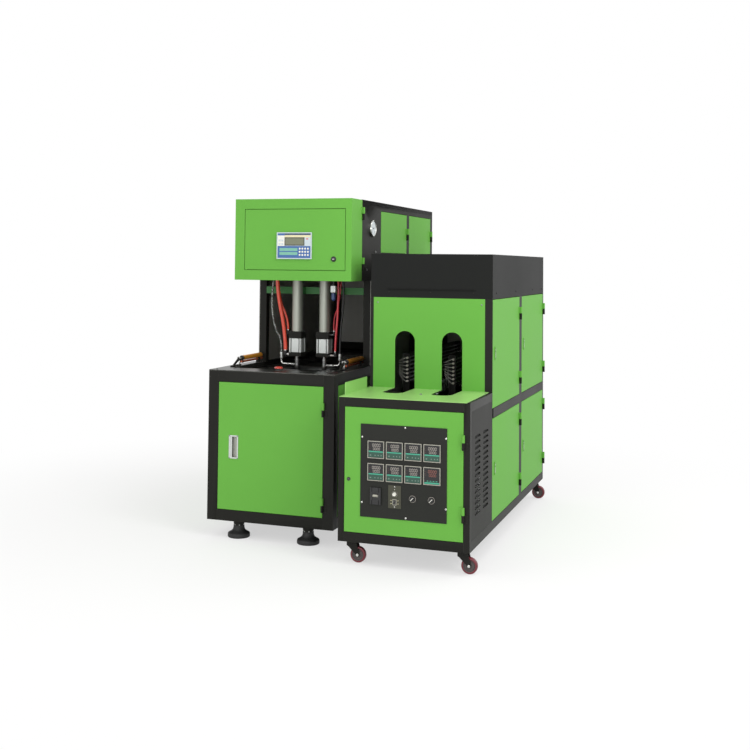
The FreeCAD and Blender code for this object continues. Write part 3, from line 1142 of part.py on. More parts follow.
def chain_bed(frame):
    """Bed plate for the sprocket shafts with a rail under each straight run."""
    left, right = HEATER_L + HEATER_TUBE, HEATER_R - HEATER_TUBE
    y0, y1 = SPROCKET_Y - CHAIN_R - 20, REAR_SPROCKET_Y + CHAIN_R + 20
    bed = block(left, right, y0, y1, BED_Z - BED_T, BED_Z)
    for y in (SPROCKET_Y, REAR_SPROCKET_Y):
        bed = bed.cut(round_bar(SHAFT_R + PIN_CLEARANCE, LANE_MID, y, BED_Z - BED_T - 1, Z, BED_T + 2))
    frame["chain bed"] = bed
    for x in (LANE_MID - CHAIN_R, LANE_MID + CHAIN_R):
        frame[f"chain rail {x:.0f}"] = block(x - RAIL_SHEET / 2, x + RAIL_SHEET / 2, SPROCKET_Y + RAIL_CLEAR,
                                             REAR_SPROCKET_Y - RAIL_CLEAR, BED_Z, CHAIN_Z - LINK_GAP)
    for x in (left - HEATER_TUBE + 3, right - 30 + HEATER_TUBE - 3):
        low = BED_Z - BED_T
        frame[f"bed bearer {x:.0f}"] = block(max(x, left), min(x + 30, right), y0, y1, low - 20, low)


def drive_motor():
    """Geared motor hung below the bed under the front sprocket."""
    top = BED_Z - BED_T - 20
    gearbox = block(LANE_MID - 55, LANE_MID + 55, SPROCKET_Y - 55, SPROCKET_Y + 55, top - 90, top)
    motor = round_bar(60, LANE_MID, SPROCKET_Y, top - 290, Z, 200)
    posts = []
    for dx in (-45, 45):
        for dy in (-45, 45):
            posts.append(round_bar(6, LANE_MID + dx, SPROCKET_Y + dy, top, Z, 20))
    bore = round_bar(SHAFT_R + PIN_CLEARANCE, LANE_MID, SPROCKET_Y, top - 30, Z, 40)
    PARTS["drive_motor"] = fused(gearbox, motor, *posts).cut(bore)


def lamps():
    """Two lamp banks: a folded reflector with seven tube lamps, held by square ceramic ends."""
    banks = []
    height = LAMP_PITCH * (LAMP_COUNT + 1)
    low = LAMP_Z - LAMP_PITCH
    rear = LAMP_FRONT + LAMP_L
    for lane in (LANE_MID - CHAIN_R, LANE_MID + CHAIN_R):
        x = lane - LAMP_FROM_LANE
        back = block(x - 26, x - 24, LAMP_FRONT, rear, low, low + height)
        ends = [block(x - 26, x + 10, y, y + 4, BED_Z, low + height) for y in (LAMP_FRONT + 6, rear - 10)]
        pieces = [back, *ends]
        for row in range(LAMP_COUNT):
            z = LAMP_Z + row * LAMP_PITCH
            pieces.append(round_bar(LAMP_R, x, LAMP_FRONT + 10, z, Y, LAMP_L - 20))
            for y in (LAMP_FRONT - 12, rear - 10):
                pieces.append(block(x - LAMP_R, x + LAMP_R, y, y + 22, z - 3, z + 3))
        banks.append(fused(*pieces))
    PARTS["lamp_banks"] = group(*banks)


LAMP_FROM_LANE = 62.0


# ---- casters ----
def casters():
    plates = []
    places = {
        "front_left": (HEATER_L + CASTER_INSET_X, HEATER_FRONT + CASTER_INSET_Y),
        "front_right": (HEATER_R - CASTER_INSET_X, HEATER_FRONT + CASTER_INSET_Y),
        "rear_left": (HEATER_L + CASTER_INSET_X, HEATER_BACK - CASTER_INSET_Y),
        "rear_right": (HEATER_R - CASTER_INSET_X, HEATER_BACK - CASTER_INSET_Y),
    }
    half = CASTER_PLATE / 2
    for name, (x, y) in places.items():
        low = HEATER_BOTTOM - CASTER_PLATE_T
        plate = block(x - half, x + half, y - half, y + half, low, HEATER_BOTTOM)
        kingpin = round_bar(KINGPIN_R, x, y, low - CASTER_HEAD_H - 2, Z, CASTER_HEAD_H + 2)
        plates.append(fused(plate, kingpin))
        PARTS[f"caster_fork_{name}"] = caster_fork(x, y)
        PARTS[f"caster_wheel_{name}"] = caster_wheel(x + CASTER_TRAIL, y)
    PARTS["heater_frame"] = group(PARTS["heater_frame"], *plates)


KINGPIN_R = 6.0
HUB_R = 12.0
CASTER_HEAD_H = 10.0


def caster_fork(x, y):
    """Pressed fork: a round head, two cheeks swept back to the axle, and the axle."""
    top = HEATER_BOTTOM - CASTER_PLATE_T - SLIDE_CLEARANCE
    head = round_bar(27, x, y, top - CASTER_HEAD_H, Z, CASTER_HEAD_H)
    bore = round_bar(KINGPIN_R + PIN_CLEARANCE, x, y, top - CASTER_HEAD_H - 1, Z, CASTER_HEAD_H + 2)
    half = WHEEL_W / 2 + 1.5
    low = top - CASTER_HEAD_H
    outline = [(x - 20, low + 2), (x + 27, low + 2), (x + CASTER_TRAIL + 11, WHEEL_R + 4),
               (x + CASTER_TRAIL + 11, WHEEL_R - 9), (x + CASTER_TRAIL - 11, WHEEL_R - 9), (x - 20, low - 14)]
    cheeks = [profile(outline, "y", y + side, FORK_SHEET) for side in (half, -half - FORK_SHEET)]
    axle = round_bar(AXLE_R, x + CASTER_TRAIL, y - half, WHEEL_R, Y, 2 * half)
    web = block(x - 20, x + 20, y - half, y + half, low, low + 2)
    return fused(head, *cheeks, axle, web).cut(bore)


def caster_wheel(x, y):
    """Wheel with a flat tread, dished sides and a hub on the axle."""
    half = WHEEL_W / 2
    inner = AXLE_R + PIN_CLEARANCE
    points = [(inner, -half), (HUB_R, -half), (WHEEL_R - 8, -half + 6), (WHEEL_R, -half + 3),
              (WHEEL_R, half - 3), (WHEEL_R - 8, half - 6), (HUB_R, half), (inner, half)]
    corners = [Vector(x, y + along, WHEEL_R + r) for r, along in points]
    face = Part.Face(Part.makePolygon(corners + corners[:1]))
    return face.revolve(Vector(x, y, WHEEL_R), Y, 360)


# ---- build, move to the origin, write ----
def build():
    base()
    table()
    tower()
    head()
    stretching()
    clamp()
    side_cylinders()
    hoses()
    heater()
    spindle_chain()
    drive_motor()
    lamps()
    casters()


def footprint_shift():
    """Move that puts the middle of the machine's footprint at the origin, floor at Z 0."""
    box = FreeCAD.BoundBox()
    for shape in PARTS.values():
        box.add(shape.optimalBoundingBox(False))
    return Vector(-(box.XMin + box.XMax) / 2, -(box.YMin + box.YMax) / 2, -box.ZMin)


build()
SHIFT = footprint_shift()
print("shift", SHIFT, "parts", len(PARTS))
os.makedirs("parts", exist_ok=True)
for name, shape in PARTS.items():
    shape.translate(SHIFT)
    shape.exportStep(f"parts/{name}.step")
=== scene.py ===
import math

import bmesh
import bpy
from mathutils import Matrix, Vector


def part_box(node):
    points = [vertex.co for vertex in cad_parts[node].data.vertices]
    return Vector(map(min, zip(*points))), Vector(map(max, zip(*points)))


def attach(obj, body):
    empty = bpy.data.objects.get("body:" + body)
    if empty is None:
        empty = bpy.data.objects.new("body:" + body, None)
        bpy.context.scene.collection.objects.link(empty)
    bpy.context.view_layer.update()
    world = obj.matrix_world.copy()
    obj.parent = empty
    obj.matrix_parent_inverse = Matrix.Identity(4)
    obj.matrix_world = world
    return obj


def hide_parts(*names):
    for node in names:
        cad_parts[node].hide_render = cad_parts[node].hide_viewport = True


# Looks of the blow moulding machine, in metres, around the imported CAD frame.
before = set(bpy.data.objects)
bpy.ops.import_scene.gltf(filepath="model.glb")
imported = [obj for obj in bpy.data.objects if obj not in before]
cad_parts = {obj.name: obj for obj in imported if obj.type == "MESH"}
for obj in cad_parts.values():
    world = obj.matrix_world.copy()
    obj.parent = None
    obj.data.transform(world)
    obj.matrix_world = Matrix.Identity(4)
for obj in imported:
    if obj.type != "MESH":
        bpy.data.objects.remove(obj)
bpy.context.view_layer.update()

X, Y, Z = Vector((1, 0, 0)), Vector((0, 1, 0)), Vector((0, 0, 1))
BLOWER_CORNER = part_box("table_plate")[0]


def at(x, y, z):
    """Point measured from the blower's front left corner, above the floor."""
    return Vector((BLOWER_CORNER.x + x, BLOWER_CORNER.y + y, z))


def spoke(angle, right=X, up=Z):
    """Unit vector at an angle from right towards up."""
    return right * math.cos(angle) + up * math.sin(angle)


def rod(radius, length):
    """Profile of a plain round rod with flat ends."""
    return [(0, 0), (radius, 0), (radius, length), (0, length)]


def four_bars(x0, x1, z0, z1, side, level, inset):
    """Left, right, lower and upper bar of a rim: side and level are their widths."""
    return ((x0, x0 + side, z0, z1), (x1 - side, x1, z0, z1),
            (x0 + inset, x1 - inset, z0, z0 + level), (x0 + inset, x1 - inset, z1 - level, z1))


# ---- camera, floor and light ----
CAMERA_PLACE = at(2.6079, -5.1998, 1.3965)
CAMERA_YAW = math.radians(19.765)
CAMERA_PITCH = math.radians(2.404)
CAMERA_ROLL = math.radians(0.582)
SENSOR = 36.0
IMAGE_SIZE = 750.0
FOCAL_PIXELS = 1115.8
CENTRE_PIXEL = (345.88, 217.75)
FLOOR_HALF = 40.0
FLOOR_NEAR, FLOOR_FAR, FLOOR_LIFT = 1.0, 3.4, 0.56
FLOOR_TONE = (0.90, 0.90, 0.90, 1)
WHITE = (1, 1, 1, 1)
WORLD_TONE, WORLD_STRENGTH = (1.0, 0.99, 0.97, 1), 0.78
SEEN_RAYS = ("Is Camera Ray", "Is Glossy Ray", "Is Transmission Ray")
MIDDLE = (0, 0, 0.9)
# name: (place, target, size, power)
LIGHTS = {"key": ((4.6, -3.7, 4.5), MIDDLE, 3.0, 112), "fill": ((-3.2, -5.0, 2.4), MIDDLE, 3.0, 36),
          "front": ((0.2, -6.0, 1.3), (-0.4, 0, 1.1), 2.0, 45),
          "side": ((3.4, 1.6, 2.9), (-0.1, 0.4, 1.4), 2.5, 42),
          "near": ((1.4, -1.4, 2.9), (-0.1, 0, 1.5), 0.8, 14)}


def linked(name, data):
    made = bpy.data.objects.new(name, data)
    bpy.context.scene.collection.objects.link(made)
    return made


def camera():
    forward = Vector((-math.sin(CAMERA_YAW) * math.cos(CAMERA_PITCH),
                      math.cos(CAMERA_YAW) * math.cos(CAMERA_PITCH), math.sin(CAMERA_PITCH)))
    level = Vector((math.cos(CAMERA_YAW), math.sin(CAMERA_YAW), 0))
    rise = level.cross(forward)
    right = level * math.cos(CAMERA_ROLL) + rise * math.sin(CAMERA_ROLL)
    up = rise * math.cos(CAMERA_ROLL) - level * math.sin(CAMERA_ROLL)
    data = bpy.data.cameras.new("camera")
    data.sensor_width = SENSOR
    data.lens = SENSOR * FOCAL_PIXELS / IMAGE_SIZE
    data.shift_x = (IMAGE_SIZE / 2 - CENTRE_PIXEL[0]) / IMAGE_SIZE
    data.shift_y = (CENTRE_PIXEL[1] - IMAGE_SIZE / 2) / IMAGE_SIZE
    data.clip_end = 200
    result = linked("camera", data)
    turn = Matrix((right, up, -forward)).transposed().to_4x4()
    result.matrix_world = Matrix.Translation(CAMERA_PLACE) @ turn
    bpy.context.scene.camera = result


def empty_tree(owner):
    owner.use_nodes = True
    owner.node_tree.nodes.clear()
    return owner.node_tree


def add_node(tree, kind, sockets=None, **settings):
    """Shader node; each socket takes a value or the output of another node."""
    node = tree.nodes.new("ShaderNode" + kind)
    for name, value in settings.items():
        setattr(node, name, value)
    for name, value in (sockets or {}).items():
        if isinstance(value, bpy.types.NodeSocket):
            tree.links.new(value, node.inputs[name])
        else:
            node.inputs[name].default_value = value
    return node


def seen_ray(tree):
    """One where the ray is of a kind that shows the background itself."""
    path = add_node(tree, "LightPath")
    share = path.outputs[SEEN_RAYS[0]]
    for name in SEEN_RAYS[1:]:
        share = add_node(tree, "Math", {0: share, 1: path.outputs[name]}, operation="MAXIMUM").outputs[0]
    return share


def mixed_output(tree, share, first, second, output):
    mix = add_node(tree, "MixShader", {"Fac": share, 1: first.outputs[0], 2: second.outputs[0]})
    add_node(tree, output, {"Surface": mix.outputs[0]})


def studio_world():
    world = bpy.data.worlds.new("studio")
    bpy.context.scene.world = world
    tree = empty_tree(world)
    light = add_node(tree, "Background", {"Color": WORLD_TONE, "Strength": WORLD_STRENGTH})
    white = add_node(tree, "Background", {"Color": WHITE})
    mixed_output(tree, seen_ray(tree), light, white, "OutputWorld")


def floor_material():
    """Pale floor that turns to the white background away from the machine and keeps its shadow."""
    material = bpy.data.materials.new("floor")
    tree = empty_tree(material)
    pale = add_node(tree, "BsdfDiffuse", {"Color": FLOOR_TONE})
    white = add_node(tree, "Emission", {"Color": WHITE, "Strength": 1.0})
    place = add_node(tree, "TexCoord").outputs["Object"]
    distance = add_node(tree, "VectorMath", {0: place}, operation="LENGTH").outputs["Value"]
    away = add_node(tree, "MapRange", {"From Min": FLOOR_NEAR, "From Max": FLOOR_FAR, "To Min": FLOOR_LIFT,
                                       "Value": distance}, interpolation_type="SMOOTHSTEP")
    share = add_node(tree, "Math", {0: away.outputs[0], 1: seen_ray(tree)}, operation="MULTIPLY")
    mixed_output(tree, share.outputs[0], pale, white, "OutputMaterial")
    return material


def studio_floor():
    mesh = bpy.data.meshes.new("floor")
    corners = [(x * FLOOR_HALF, y * FLOOR_HALF, 0) for x, y in ((-1, -1), (1, -1), (1, 1), (-1, 1))]
    mesh.from_pydata(corners, [], [(0, 1, 2, 3)])
    mesh.materials.append(floor_material())
    floor = linked("floor", mesh)


def lights():
    for name, (place, target, size, power) in LIGHTS.items():
        data = bpy.data.lights.new(name, "AREA")
        data.shape = "SQUARE"
        data.size = size
        data.energy = power
        lamp = linked(name, data)
        lamp.location = place
        lamp.rotation_mode = "QUATERNION"
        lamp.rotation_quaternion = (Vector(target) - Vector(place)).to_track_quat("-Z", "Y")


# ---- materials ----
def colour(red, green, blue):
    """Linear colour from 8-bit display values."""
    def linear(value):
        share = value / 255
        return share / 12.92 if share <= 0.04045 else ((share + 0.055) / 1.055) ** 2.4
    return (linear(red), linear(green), linear(blue), 1)


def scaled(tone, share):
    return (*[min(1.0, c * share) for c in tone[:3]], 1)


class Surface:
    """Procedural material: a mottled colour, uneven roughness and a fine grain in relief."""

    def __init__(self, name, tone, roughness, mottle, patch, relief, metallic=0.0, uneven=0.06,
                 grain=900.0, stretch=(1, 1, 1), coat=0.0, specular=0.5):
        self.material = bpy.data.materials.new(name)
        self.tree = empty_tree(self.material)
        self.place = self.add("TexCoord").outputs["Object"]
        self.shader = self.add("BsdfPrincipled", {"Metallic": metallic, "Specular IOR Level": specular,
                                                  "Coat Weight": coat, "Coat Roughness": 0.12})
        self.add("OutputMaterial", {"Surface": self.shader.outputs[0]})
        broad = self.noise(patch, 4.0)
        self.paint(broad, scaled(tone, 1 - mottle), scaled(tone, 1 + mottle))
        spread = self.add("MapRange", {"To Min": max(0.02, roughness - uneven), "To Max": roughness + uneven,
                                       "Value": broad})
        self.tree.links.new(spread.outputs[0], self.shader.inputs["Roughness"])
        height = self.noise(grain, 2.0, stretch)
        bump = self.add("Bump", {"Strength": relief, "Distance": 0.001, "Height": height})
        self.tree.links.new(bump.outputs[0], self.shader.inputs["Normal"])

    def add(self, kind, sockets=None, **settings):
        return add_node(self.tree, kind, sockets, **settings)

    def noise(self, scale, detail, stretch=(1, 1, 1)):
        mapping = self.add("Mapping", {"Scale": stretch, "Vector": self.place})
        noise = self.add("TexNoise", {"Scale": scale, "Detail": detail, "Vector": mapping.outputs[0]})
        return noise.outputs["Fac"]

    def paint(self, share, first, second):
        """Makes a mix of two tones the base colour."""
        mix = self.add("Mix", data_type="RGBA")
        self.tree.links.new(share, mix.inputs["Factor"])
        for socket, value in ((mix.inputs["A"], first), (mix.inputs["B"], second)):
            if isinstance(value, tuple):
                socket.default_value = value
            else:
                self.tree.links.new(value, socket)
        self.base = mix.outputs["Result"]
        self.tree.links.new(self.base, self.shader.inputs["Base Color"])

    def specks(self, tone, scale, low, high):
        """Lays small flecks of another tone over the base."""
        spread = self.add("MapRange", {"From Min": low, "From Max": high, "Value": self.noise(scale, 1.0)})
        self.paint(spread.outputs[0], self.base, tone)

    def painted_light_inside(self, low, high, tone):
        """Gives the inner faces of a sheet housing, those inside the box, a paler tone: painted light that
        lifts the shaded interior.
        """
        gaps = []
        for way, corner in ((1, low), (-1, high)):
            gap = self.add("VectorMath", {0: self.place, 1: (way, way, way), 2: corner * -way},
                           operation="MULTIPLY_ADD")
            gaps += list(self.add("SeparateXYZ", {0: gap.outputs[0]}).outputs)
        inside = gaps[0]
        for gap in gaps[1:]:
            inside = self.add("Math", {0: inside, 1: gap}, operation="MINIMUM").outputs[0]
        share = self.add("Math", {0: inside, 1: 0.0}, operation="GREATER_THAN")
        self.paint(share.outputs[0], self.base, tone)

    def edge_wear_and_painted_highlight(self, tone, radius=0.0016, share=0.5):
        """Gives the edges of the sheet a paler tone: rubbed wear and a painted highlight where light catches
        the edge.
        """
        rounded = self.add("Bevel", {"Radius": radius}, samples=4)
        true_normal = self.add("NewGeometry").outputs["Normal"]
        dot = self.add("VectorMath", {0: rounded.outputs[0], 1: true_normal}, operation="DOT_PRODUCT")
        edge = self.add("MapRange", {"From Min": 0.98, "From Max": 0.80, "To Max": share,
                                     "Value": dot.outputs["Value"]})
        broken = self.add("Math", {0: edge.outputs[0], 1: self.noise(60.0, 6.0)}, operation="MULTIPLY")
        self.paint(broken.outputs[0], self.base, tone)


SHEET = ((31, 31, 28), 0.50, 0.2, 3.0, 0.06, {"grain": 1100, "specular": 0.12})
COVER = ((27, 28, 27), 0.54, 0.15, 2.0, 0.08, {"grain": 1200, "specular": 0.10})
# name: (8-bit colour, roughness, mottle, patch, relief, other settings)
FINISHES = {
    "green_paint": ((102, 167, 71), 0.42, 0.05, 2.5, 0.05, {"grain": 700, "specular": 0.03}),
    # darker copy of the green paint for the cylinder beam: painted shade of the dark mould space
    "green_painted_shade": ((62, 116, 66), 0.42, 0.10, 6.0, 0.05, {"specular": 0.2}),
    # lighter copy of the green paint for the shelf top: painted light falling from above
    "green_painted_light": ((149, 200, 112), 0.36, 0.06, 5.0, 0.05, {"specular": 0.4}),
    "black_paint": ((31, 31, 28), 0.46, 0.2, 3.0, 0.06, {"grain": 1100, "specular": 0.12}),
    "tower_sheet": SHEET, "heater_sheet": SHEET, "black_cover": COVER, "hood_sheet": COVER,
    "black_gloss": ((24, 25, 23), 0.28, 0.3, 4.0, 0.02, {"uneven": 0.05, "grain": 300, "specular": 0.35}),
    "dark_inside": ((96, 96, 93), 0.6, 0.2, 4.0, 0.05, {"specular": 0.15}),
    "aluminium": ((160, 162, 153), 0.44, 0.05, 9.0, 0.05,
                  {"metallic": 0.6, "grain": 500, "stretch": (1, 1, 0.02)}),
    "cast_aluminium": ((196, 200, 197), 0.36, 0.06, 18, 0.08, {"metallic": 0.6}),
    "chrome": ((214, 214, 210), 0.14, 0.04, 40, 0.01, {"metallic": 1.0}),
    "steel": ((150, 152, 150), 0.32, 0.12, 30, 0.05, {"metallic": 1.0}),
    "mould_steel": ((140, 142, 140), 0.38, 0.10, 12, 0.04, {"metallic": 1.0}),
    # darker copy of the steel for the chrome nozzles: painted dark reflection of the shaded mould space
    "steel_painted_dark_reflection": ((104, 104, 100), 0.36, 0.25, 60, 0.05, {"metallic": 0.9}),
    "gold": ((226, 154, 52), 0.30, 0.06, 14, 0.03, {"metallic": 0.35, "grain": 400, "stretch": (1, 0.02, 1)}),
    "copper": ((176, 92, 60), 0.34, 0.10, 20, 0.03, {"metallic": 0.4}),
    "spindle_metal": ((206, 214, 210), 0.36, 0.2, 90, 0.04, {"metallic": 0.2}),
    "black_plastic": ((26, 26, 27), 0.45, 0.15, 40, 0.10, {"grain": 1800}),
    "red_plastic": ((196, 62, 50), 0.26, 0.05, 30, 0.03, {"coat": 0.3}),
    "red_hose": ((226, 72, 48), 0.30, 0.10, 12, 0.05, {"grain": 300, "coat": 0.2}),
    "dark_red_hose": ((206, 50, 60), 0.30, 0.10, 14, 0.05, {"grain": 300, "coat": 0.2}),
    "grey_hose": ((52, 56, 54), 0.40, 0.2, 140, 0.25, {}),
    "black_hose": ((34, 35, 36), 0.42, 0.3, 60, 0.12, {}),
    "rubber": ((24, 25, 25), 0.62, 0.25, 25, 0.15, {"grain": 700}),
    "tyre": ((106, 32, 42), 0.42, 0.18, 35, 0.08, {"grain": 600}),
    "wheel_hub": ((76, 68, 67), 0.45, 0.12, 35, 0.10, {"grain": 700}),
    "panel_black": ((38, 39, 36), 0.54, 0.10, 9, 0.12, {"grain": 1600, "specular": 0.15}),
    "plate_olive": ((70, 70, 59), 0.5, 0.08, 30, 0.08, {"specular": 0.2}),
    "bezel_grey": ((162, 160, 149), 0.48, 0.08, 40, 0.08, {"grain": 1600}),
    "meter_glass": ((30, 30, 31), 0.14, 0.2, 30, 0.01, {"uneven": 0.03}),
    "digit_grey": ((138, 133, 127), 0.5, 0.08, 200, 0.02, {}),
    "digit_red": ((120, 70, 62), 0.5, 0.08, 200, 0.02, {}),
    "teal": ((60, 158, 130), 0.42, 0.08, 80, 0.03, {}),
    "key_green": ((34, 74, 60), 0.42, 0.12, 80, 0.05, {}),
    "key_mark": ((120, 140, 130), 0.5, 0.06, 80, 0.03, {}),
    "white_mark": ((200, 198, 190), 0.5, 0.06, 80, 0.03, {}),
    "off_white": ((222, 221, 212), 0.42, 0.04, 40, 0.05, {}),
    "panel_pale": ((188, 200, 206), 0.40, 0.05, 30, 0.05, {}),
    "panel_blue": ((50, 92, 152), 0.36, 0.06, 30, 0.04, {}),
    "panel_navy": ((44, 66, 92), 0.36, 0.06, 30, 0.04, {}),
    "panel_cream": ((214, 206, 166), 0.40, 0.04, 30, 0.04, {}),
    "panel_teal": ((112, 172, 152), 0.38, 0.06, 60, 0.04, {}),
    "screen": ((104, 108, 84), 0.18, 0.06, 30, 0.01, {"uneven": 0.03}),
    "ceramic": ((222, 218, 206), 0.50, 0.06, 60, 0.08, {}),
    "quartz": ((196, 200, 204), 0.16, 0.08, 60, 0.01, {"metallic": 0.3}),
    "motor_grey": ((86, 92, 92), 0.46, 0.10, 14, 0.12, {"grain": 500}),
    "dial_white": ((196, 204, 208), 0.32, 0.03, 40, 0.02, {}),
    "ink_black": ((24, 24, 26), 0.5, 0.1, 60, 0.02, {}),
    "blue_plastic": ((46, 70, 120), 0.30, 0.08, 40, 0.03, {}),
}
# Boxes from one outer sheet's middle to the other's: what lies inside is the sheets' inner side.
TOWER_BOX = (at(0.0285, 0.4045, 0.848), at(0.6865, 1.7985, 1.7415))
HEATER_BOX = (at(0.8045, 0.2195, 0.150), at(1.4315, 1.6615, 1.4525))
# the inner faces of these sheets get a pale tone: painted light that lifts the shaded interior
PAINTED_LIGHT_INSIDES = {"tower_sheet": TOWER_BOX, "heater_sheet": HEATER_BOX, "hood_sheet": HEATER_BOX}
INSIDE_PAINTED_LIGHT_TONE = (196, 196, 190)
MATERIALS = {}


def materials():
    surfaces = {}
    for name, (tone, *measures, others) in FINISHES.items():
        surfaces[name] = Surface(name, colour(*tone), *measures, **others)
        MATERIALS[name] = surfaces[name].material
    # paints light into the housings' shaded insides
    for name, box in PAINTED_LIGHT_INSIDES.items():
        surfaces[name].painted_light_inside(*box, colour(*INSIDE_PAINTED_LIGHT_TONE))
    # frame edges: rubbed wear and a painted edge highlight
    surfaces["black_paint"].edge_wear_and_painted_highlight(colour(110, 110, 102))
    # deck edges: a painted highlight line along the glossy deck's edges
    surfaces["black_gloss"].edge_wear_and_painted_highlight(colour(190, 190, 182), radius=0.003, share=1.0)
    surfaces["grey_hose"].specks(colour(188, 196, 190), 150.0, 0.50, 0.62)


# ---- mesh helpers ----
SHARP_ANGLE = math.radians(38)


def skin(part, rings, steps):
    """Faces between rings of points that follow each other; a ring of one point is a tip."""
    for first, second in zip(rings, rings[1:]):
        for step in range(steps):
            following = (step + 1) % steps
            corners = []
            for ring, index in ((first, step), (first, following), (second, following), (second, step)):
                corner = ring[index % len(ring)]
                if corner not in corners:
                    corners.append(corner)
            if len(corners) > 2:
                part.faces.new(corners)


class Piece:
    """A mesh made of rounded blocks, turned forms, plates and pipes, each with its own material."""

    def __init__(self, name):
        self.name = name
        self.whole = bmesh.new()
        self.used = []

    def _add(self, part, material):
        if material not in self.used:
            self.used.append(material)
        bmesh.ops.recalc_face_normals(part, faces=part.faces)
        for face in part.faces:
            face.material_index = self.used.index(material)
            face.smooth = True
        mesh = bpy.data.meshes.new("part")
        part.to_mesh(mesh)
        part.free()
        self.whole.from_mesh(mesh)
        bpy.data.meshes.remove(mesh)

    def block(self, low, high, material, edge=0.001, turn=None):
        """Block between two corners; turn is a matrix applied about its middle."""
        low, high = Vector(low), Vector(high)
        middle, size = (low + high) / 2, high - low
        part = bmesh.new()
        bmesh.ops.create_cube(part, size=1.0)
        for vertex in part.verts:
            vertex.co = Vector(c * s for c, s in zip(vertex.co, size))
        edge = min(edge, 0.45 * min(size))
        if edge > 0:
            bmesh.ops.bevel(part, geom=part.edges[:], offset=edge, segments=2, profile=0.5, affect="EDGES")
        if turn is not None:
            part.transform(turn.to_4x4())
        part.transform(Matrix.Translation(middle))
        self._add(part, material)

    def bar(self, centre, low, high, material, edge=0.001, turn=None):
        """Block whose corners are measured from a centre."""
        self.block(centre + Vector(low), centre + Vector(high), material, edge, turn)

    def turned(self, foot, axis, profile, material, steps=36):
        """Form turned about an axis through foot; profile is (radius, distance along the axis)."""
        part = bmesh.new()
        to_axis = Z.rotation_difference(Vector(axis)).to_matrix()
        rings = []
        for radius, along in profile:
            angles = [2 * math.pi * step / steps for step in range(steps if radius else 1)]
            places = [Vector((radius * math.cos(a), radius * math.sin(a), along)) for a in angles]
            rings.append([part.verts.new(Vector(foot) + to_axis @ place) for place in places])
        skin(part, rings, steps)
        self._add(part, material)

    def plate(self, outline, depth, material, edge=0.0005):
        """Flat plate: an outline of points, thickened by the vector depth."""
        part = bmesh.new()
        face = part.faces.new([part.verts.new(Vector(p)) for p in outline])
        made = bmesh.ops.extrude_face_region(part, geom=[face])
        moved = [v for v in made["geom"] if isinstance(v, bmesh.types.BMVert)]
        bmesh.ops.translate(part, verts=moved, vec=Vector(depth))
        if edge > 0:
            bmesh.ops.bevel(part, geom=part.edges[:], offset=edge, segments=1, profile=0.5, affect="EDGES")
        self._add(part, material)

    def pipe(self, points, radius, material, steps=16):
        """Rigid round rod or pipe through points, closed at both ends."""
        part = bmesh.new()
        side = None
        rings = []
        for index, point in enumerate(points):
            before, after = points[max(index - 1, 0)], points[min(index + 1, len(points) - 1)]
            along = (after - before).normalized()
            if side is None:
                side = along.orthogonal().normalized()
            side = (side - along * side.dot(along)).normalized()
            other = along.cross(side)
            angles = [2 * math.pi * step / steps for step in range(steps)]
            rings.append([part.verts.new(point + spoke(angle, side, other) * radius) for angle in angles])
        skin(part, rings, steps)
        part.faces.new(rings[0])
        part.faces.new(rings[-1])
        self._add(part, material)

    def screw(self, place, outward, radius, material="steel"):
        """Pan head screw with a cross recess, standing on place."""
        height = radius * 0.55
        profile = [(0, -0.0002), (radius, -0.0002), (radius, height * 0.35), (radius * 0.8, height * 0.8),
                   (radius * 0.45, height), (0, height)]
        self.turned(place, outward, profile, material, steps=20)
        across = outward.orthogonal().normalized()
        for arm in (across, outward.cross(across)):
            reach, half = arm * radius * 0.5, outward.cross(arm) * radius * 0.09
            top = place + outward * height * 0.98
            self.plate([top - reach - half, top + reach - half, top + reach + half, top - reach + half],
                       outward * 0.0002, "ink_black", edge=0)

    def hex_head(self, place, outward, radius, material="steel"):
        """Hexagon bolt head on a washer."""
        rise = radius * 0.18
        washer = [(0, -0.0002), (radius * 1.25, -0.0002), (radius * 1.25, rise), (0, rise)]
        self.turned(place, outward, washer, material, steps=24)
        across = outward.orthogonal().normalized()
        turns = [Matrix.Rotation(math.pi / 3 * step, 3, outward) @ across * radius for step in range(6)]
        self.plate([place + outward * rise + corner for corner in turns], outward * radius * 0.62, material,
                   edge=radius * 0.06)

    def done(self, body, replaces=(), slot=None):
        mesh = bpy.data.meshes.new(self.name)
        self.whole.to_mesh(mesh)
        self.whole.free()
        mesh.set_sharp_from_angle(angle=SHARP_ANGLE)
        for name in self.used:
            mesh.materials.append(MATERIALS[name])
        piece = linked(self.name, mesh)
        weighted = piece.modifiers.new("weighted", "WEIGHTED_NORMAL")
        weighted.keep_sharp = True
        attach(piece, body)
        if replaces:
            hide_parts(*replaces)


# ---- air hoses: free cords along the CAD routes ----
HOSE_TOP = 1.3495
LOW_PORT, HIGH_PORT, COUPLING = 0.9255, 1.0365, 0.911


def fall(share, end):
    """Height at a share of the way down from the hoses' top to a fitting."""
    return HOSE_TOP - share * (HOSE_TOP - end)


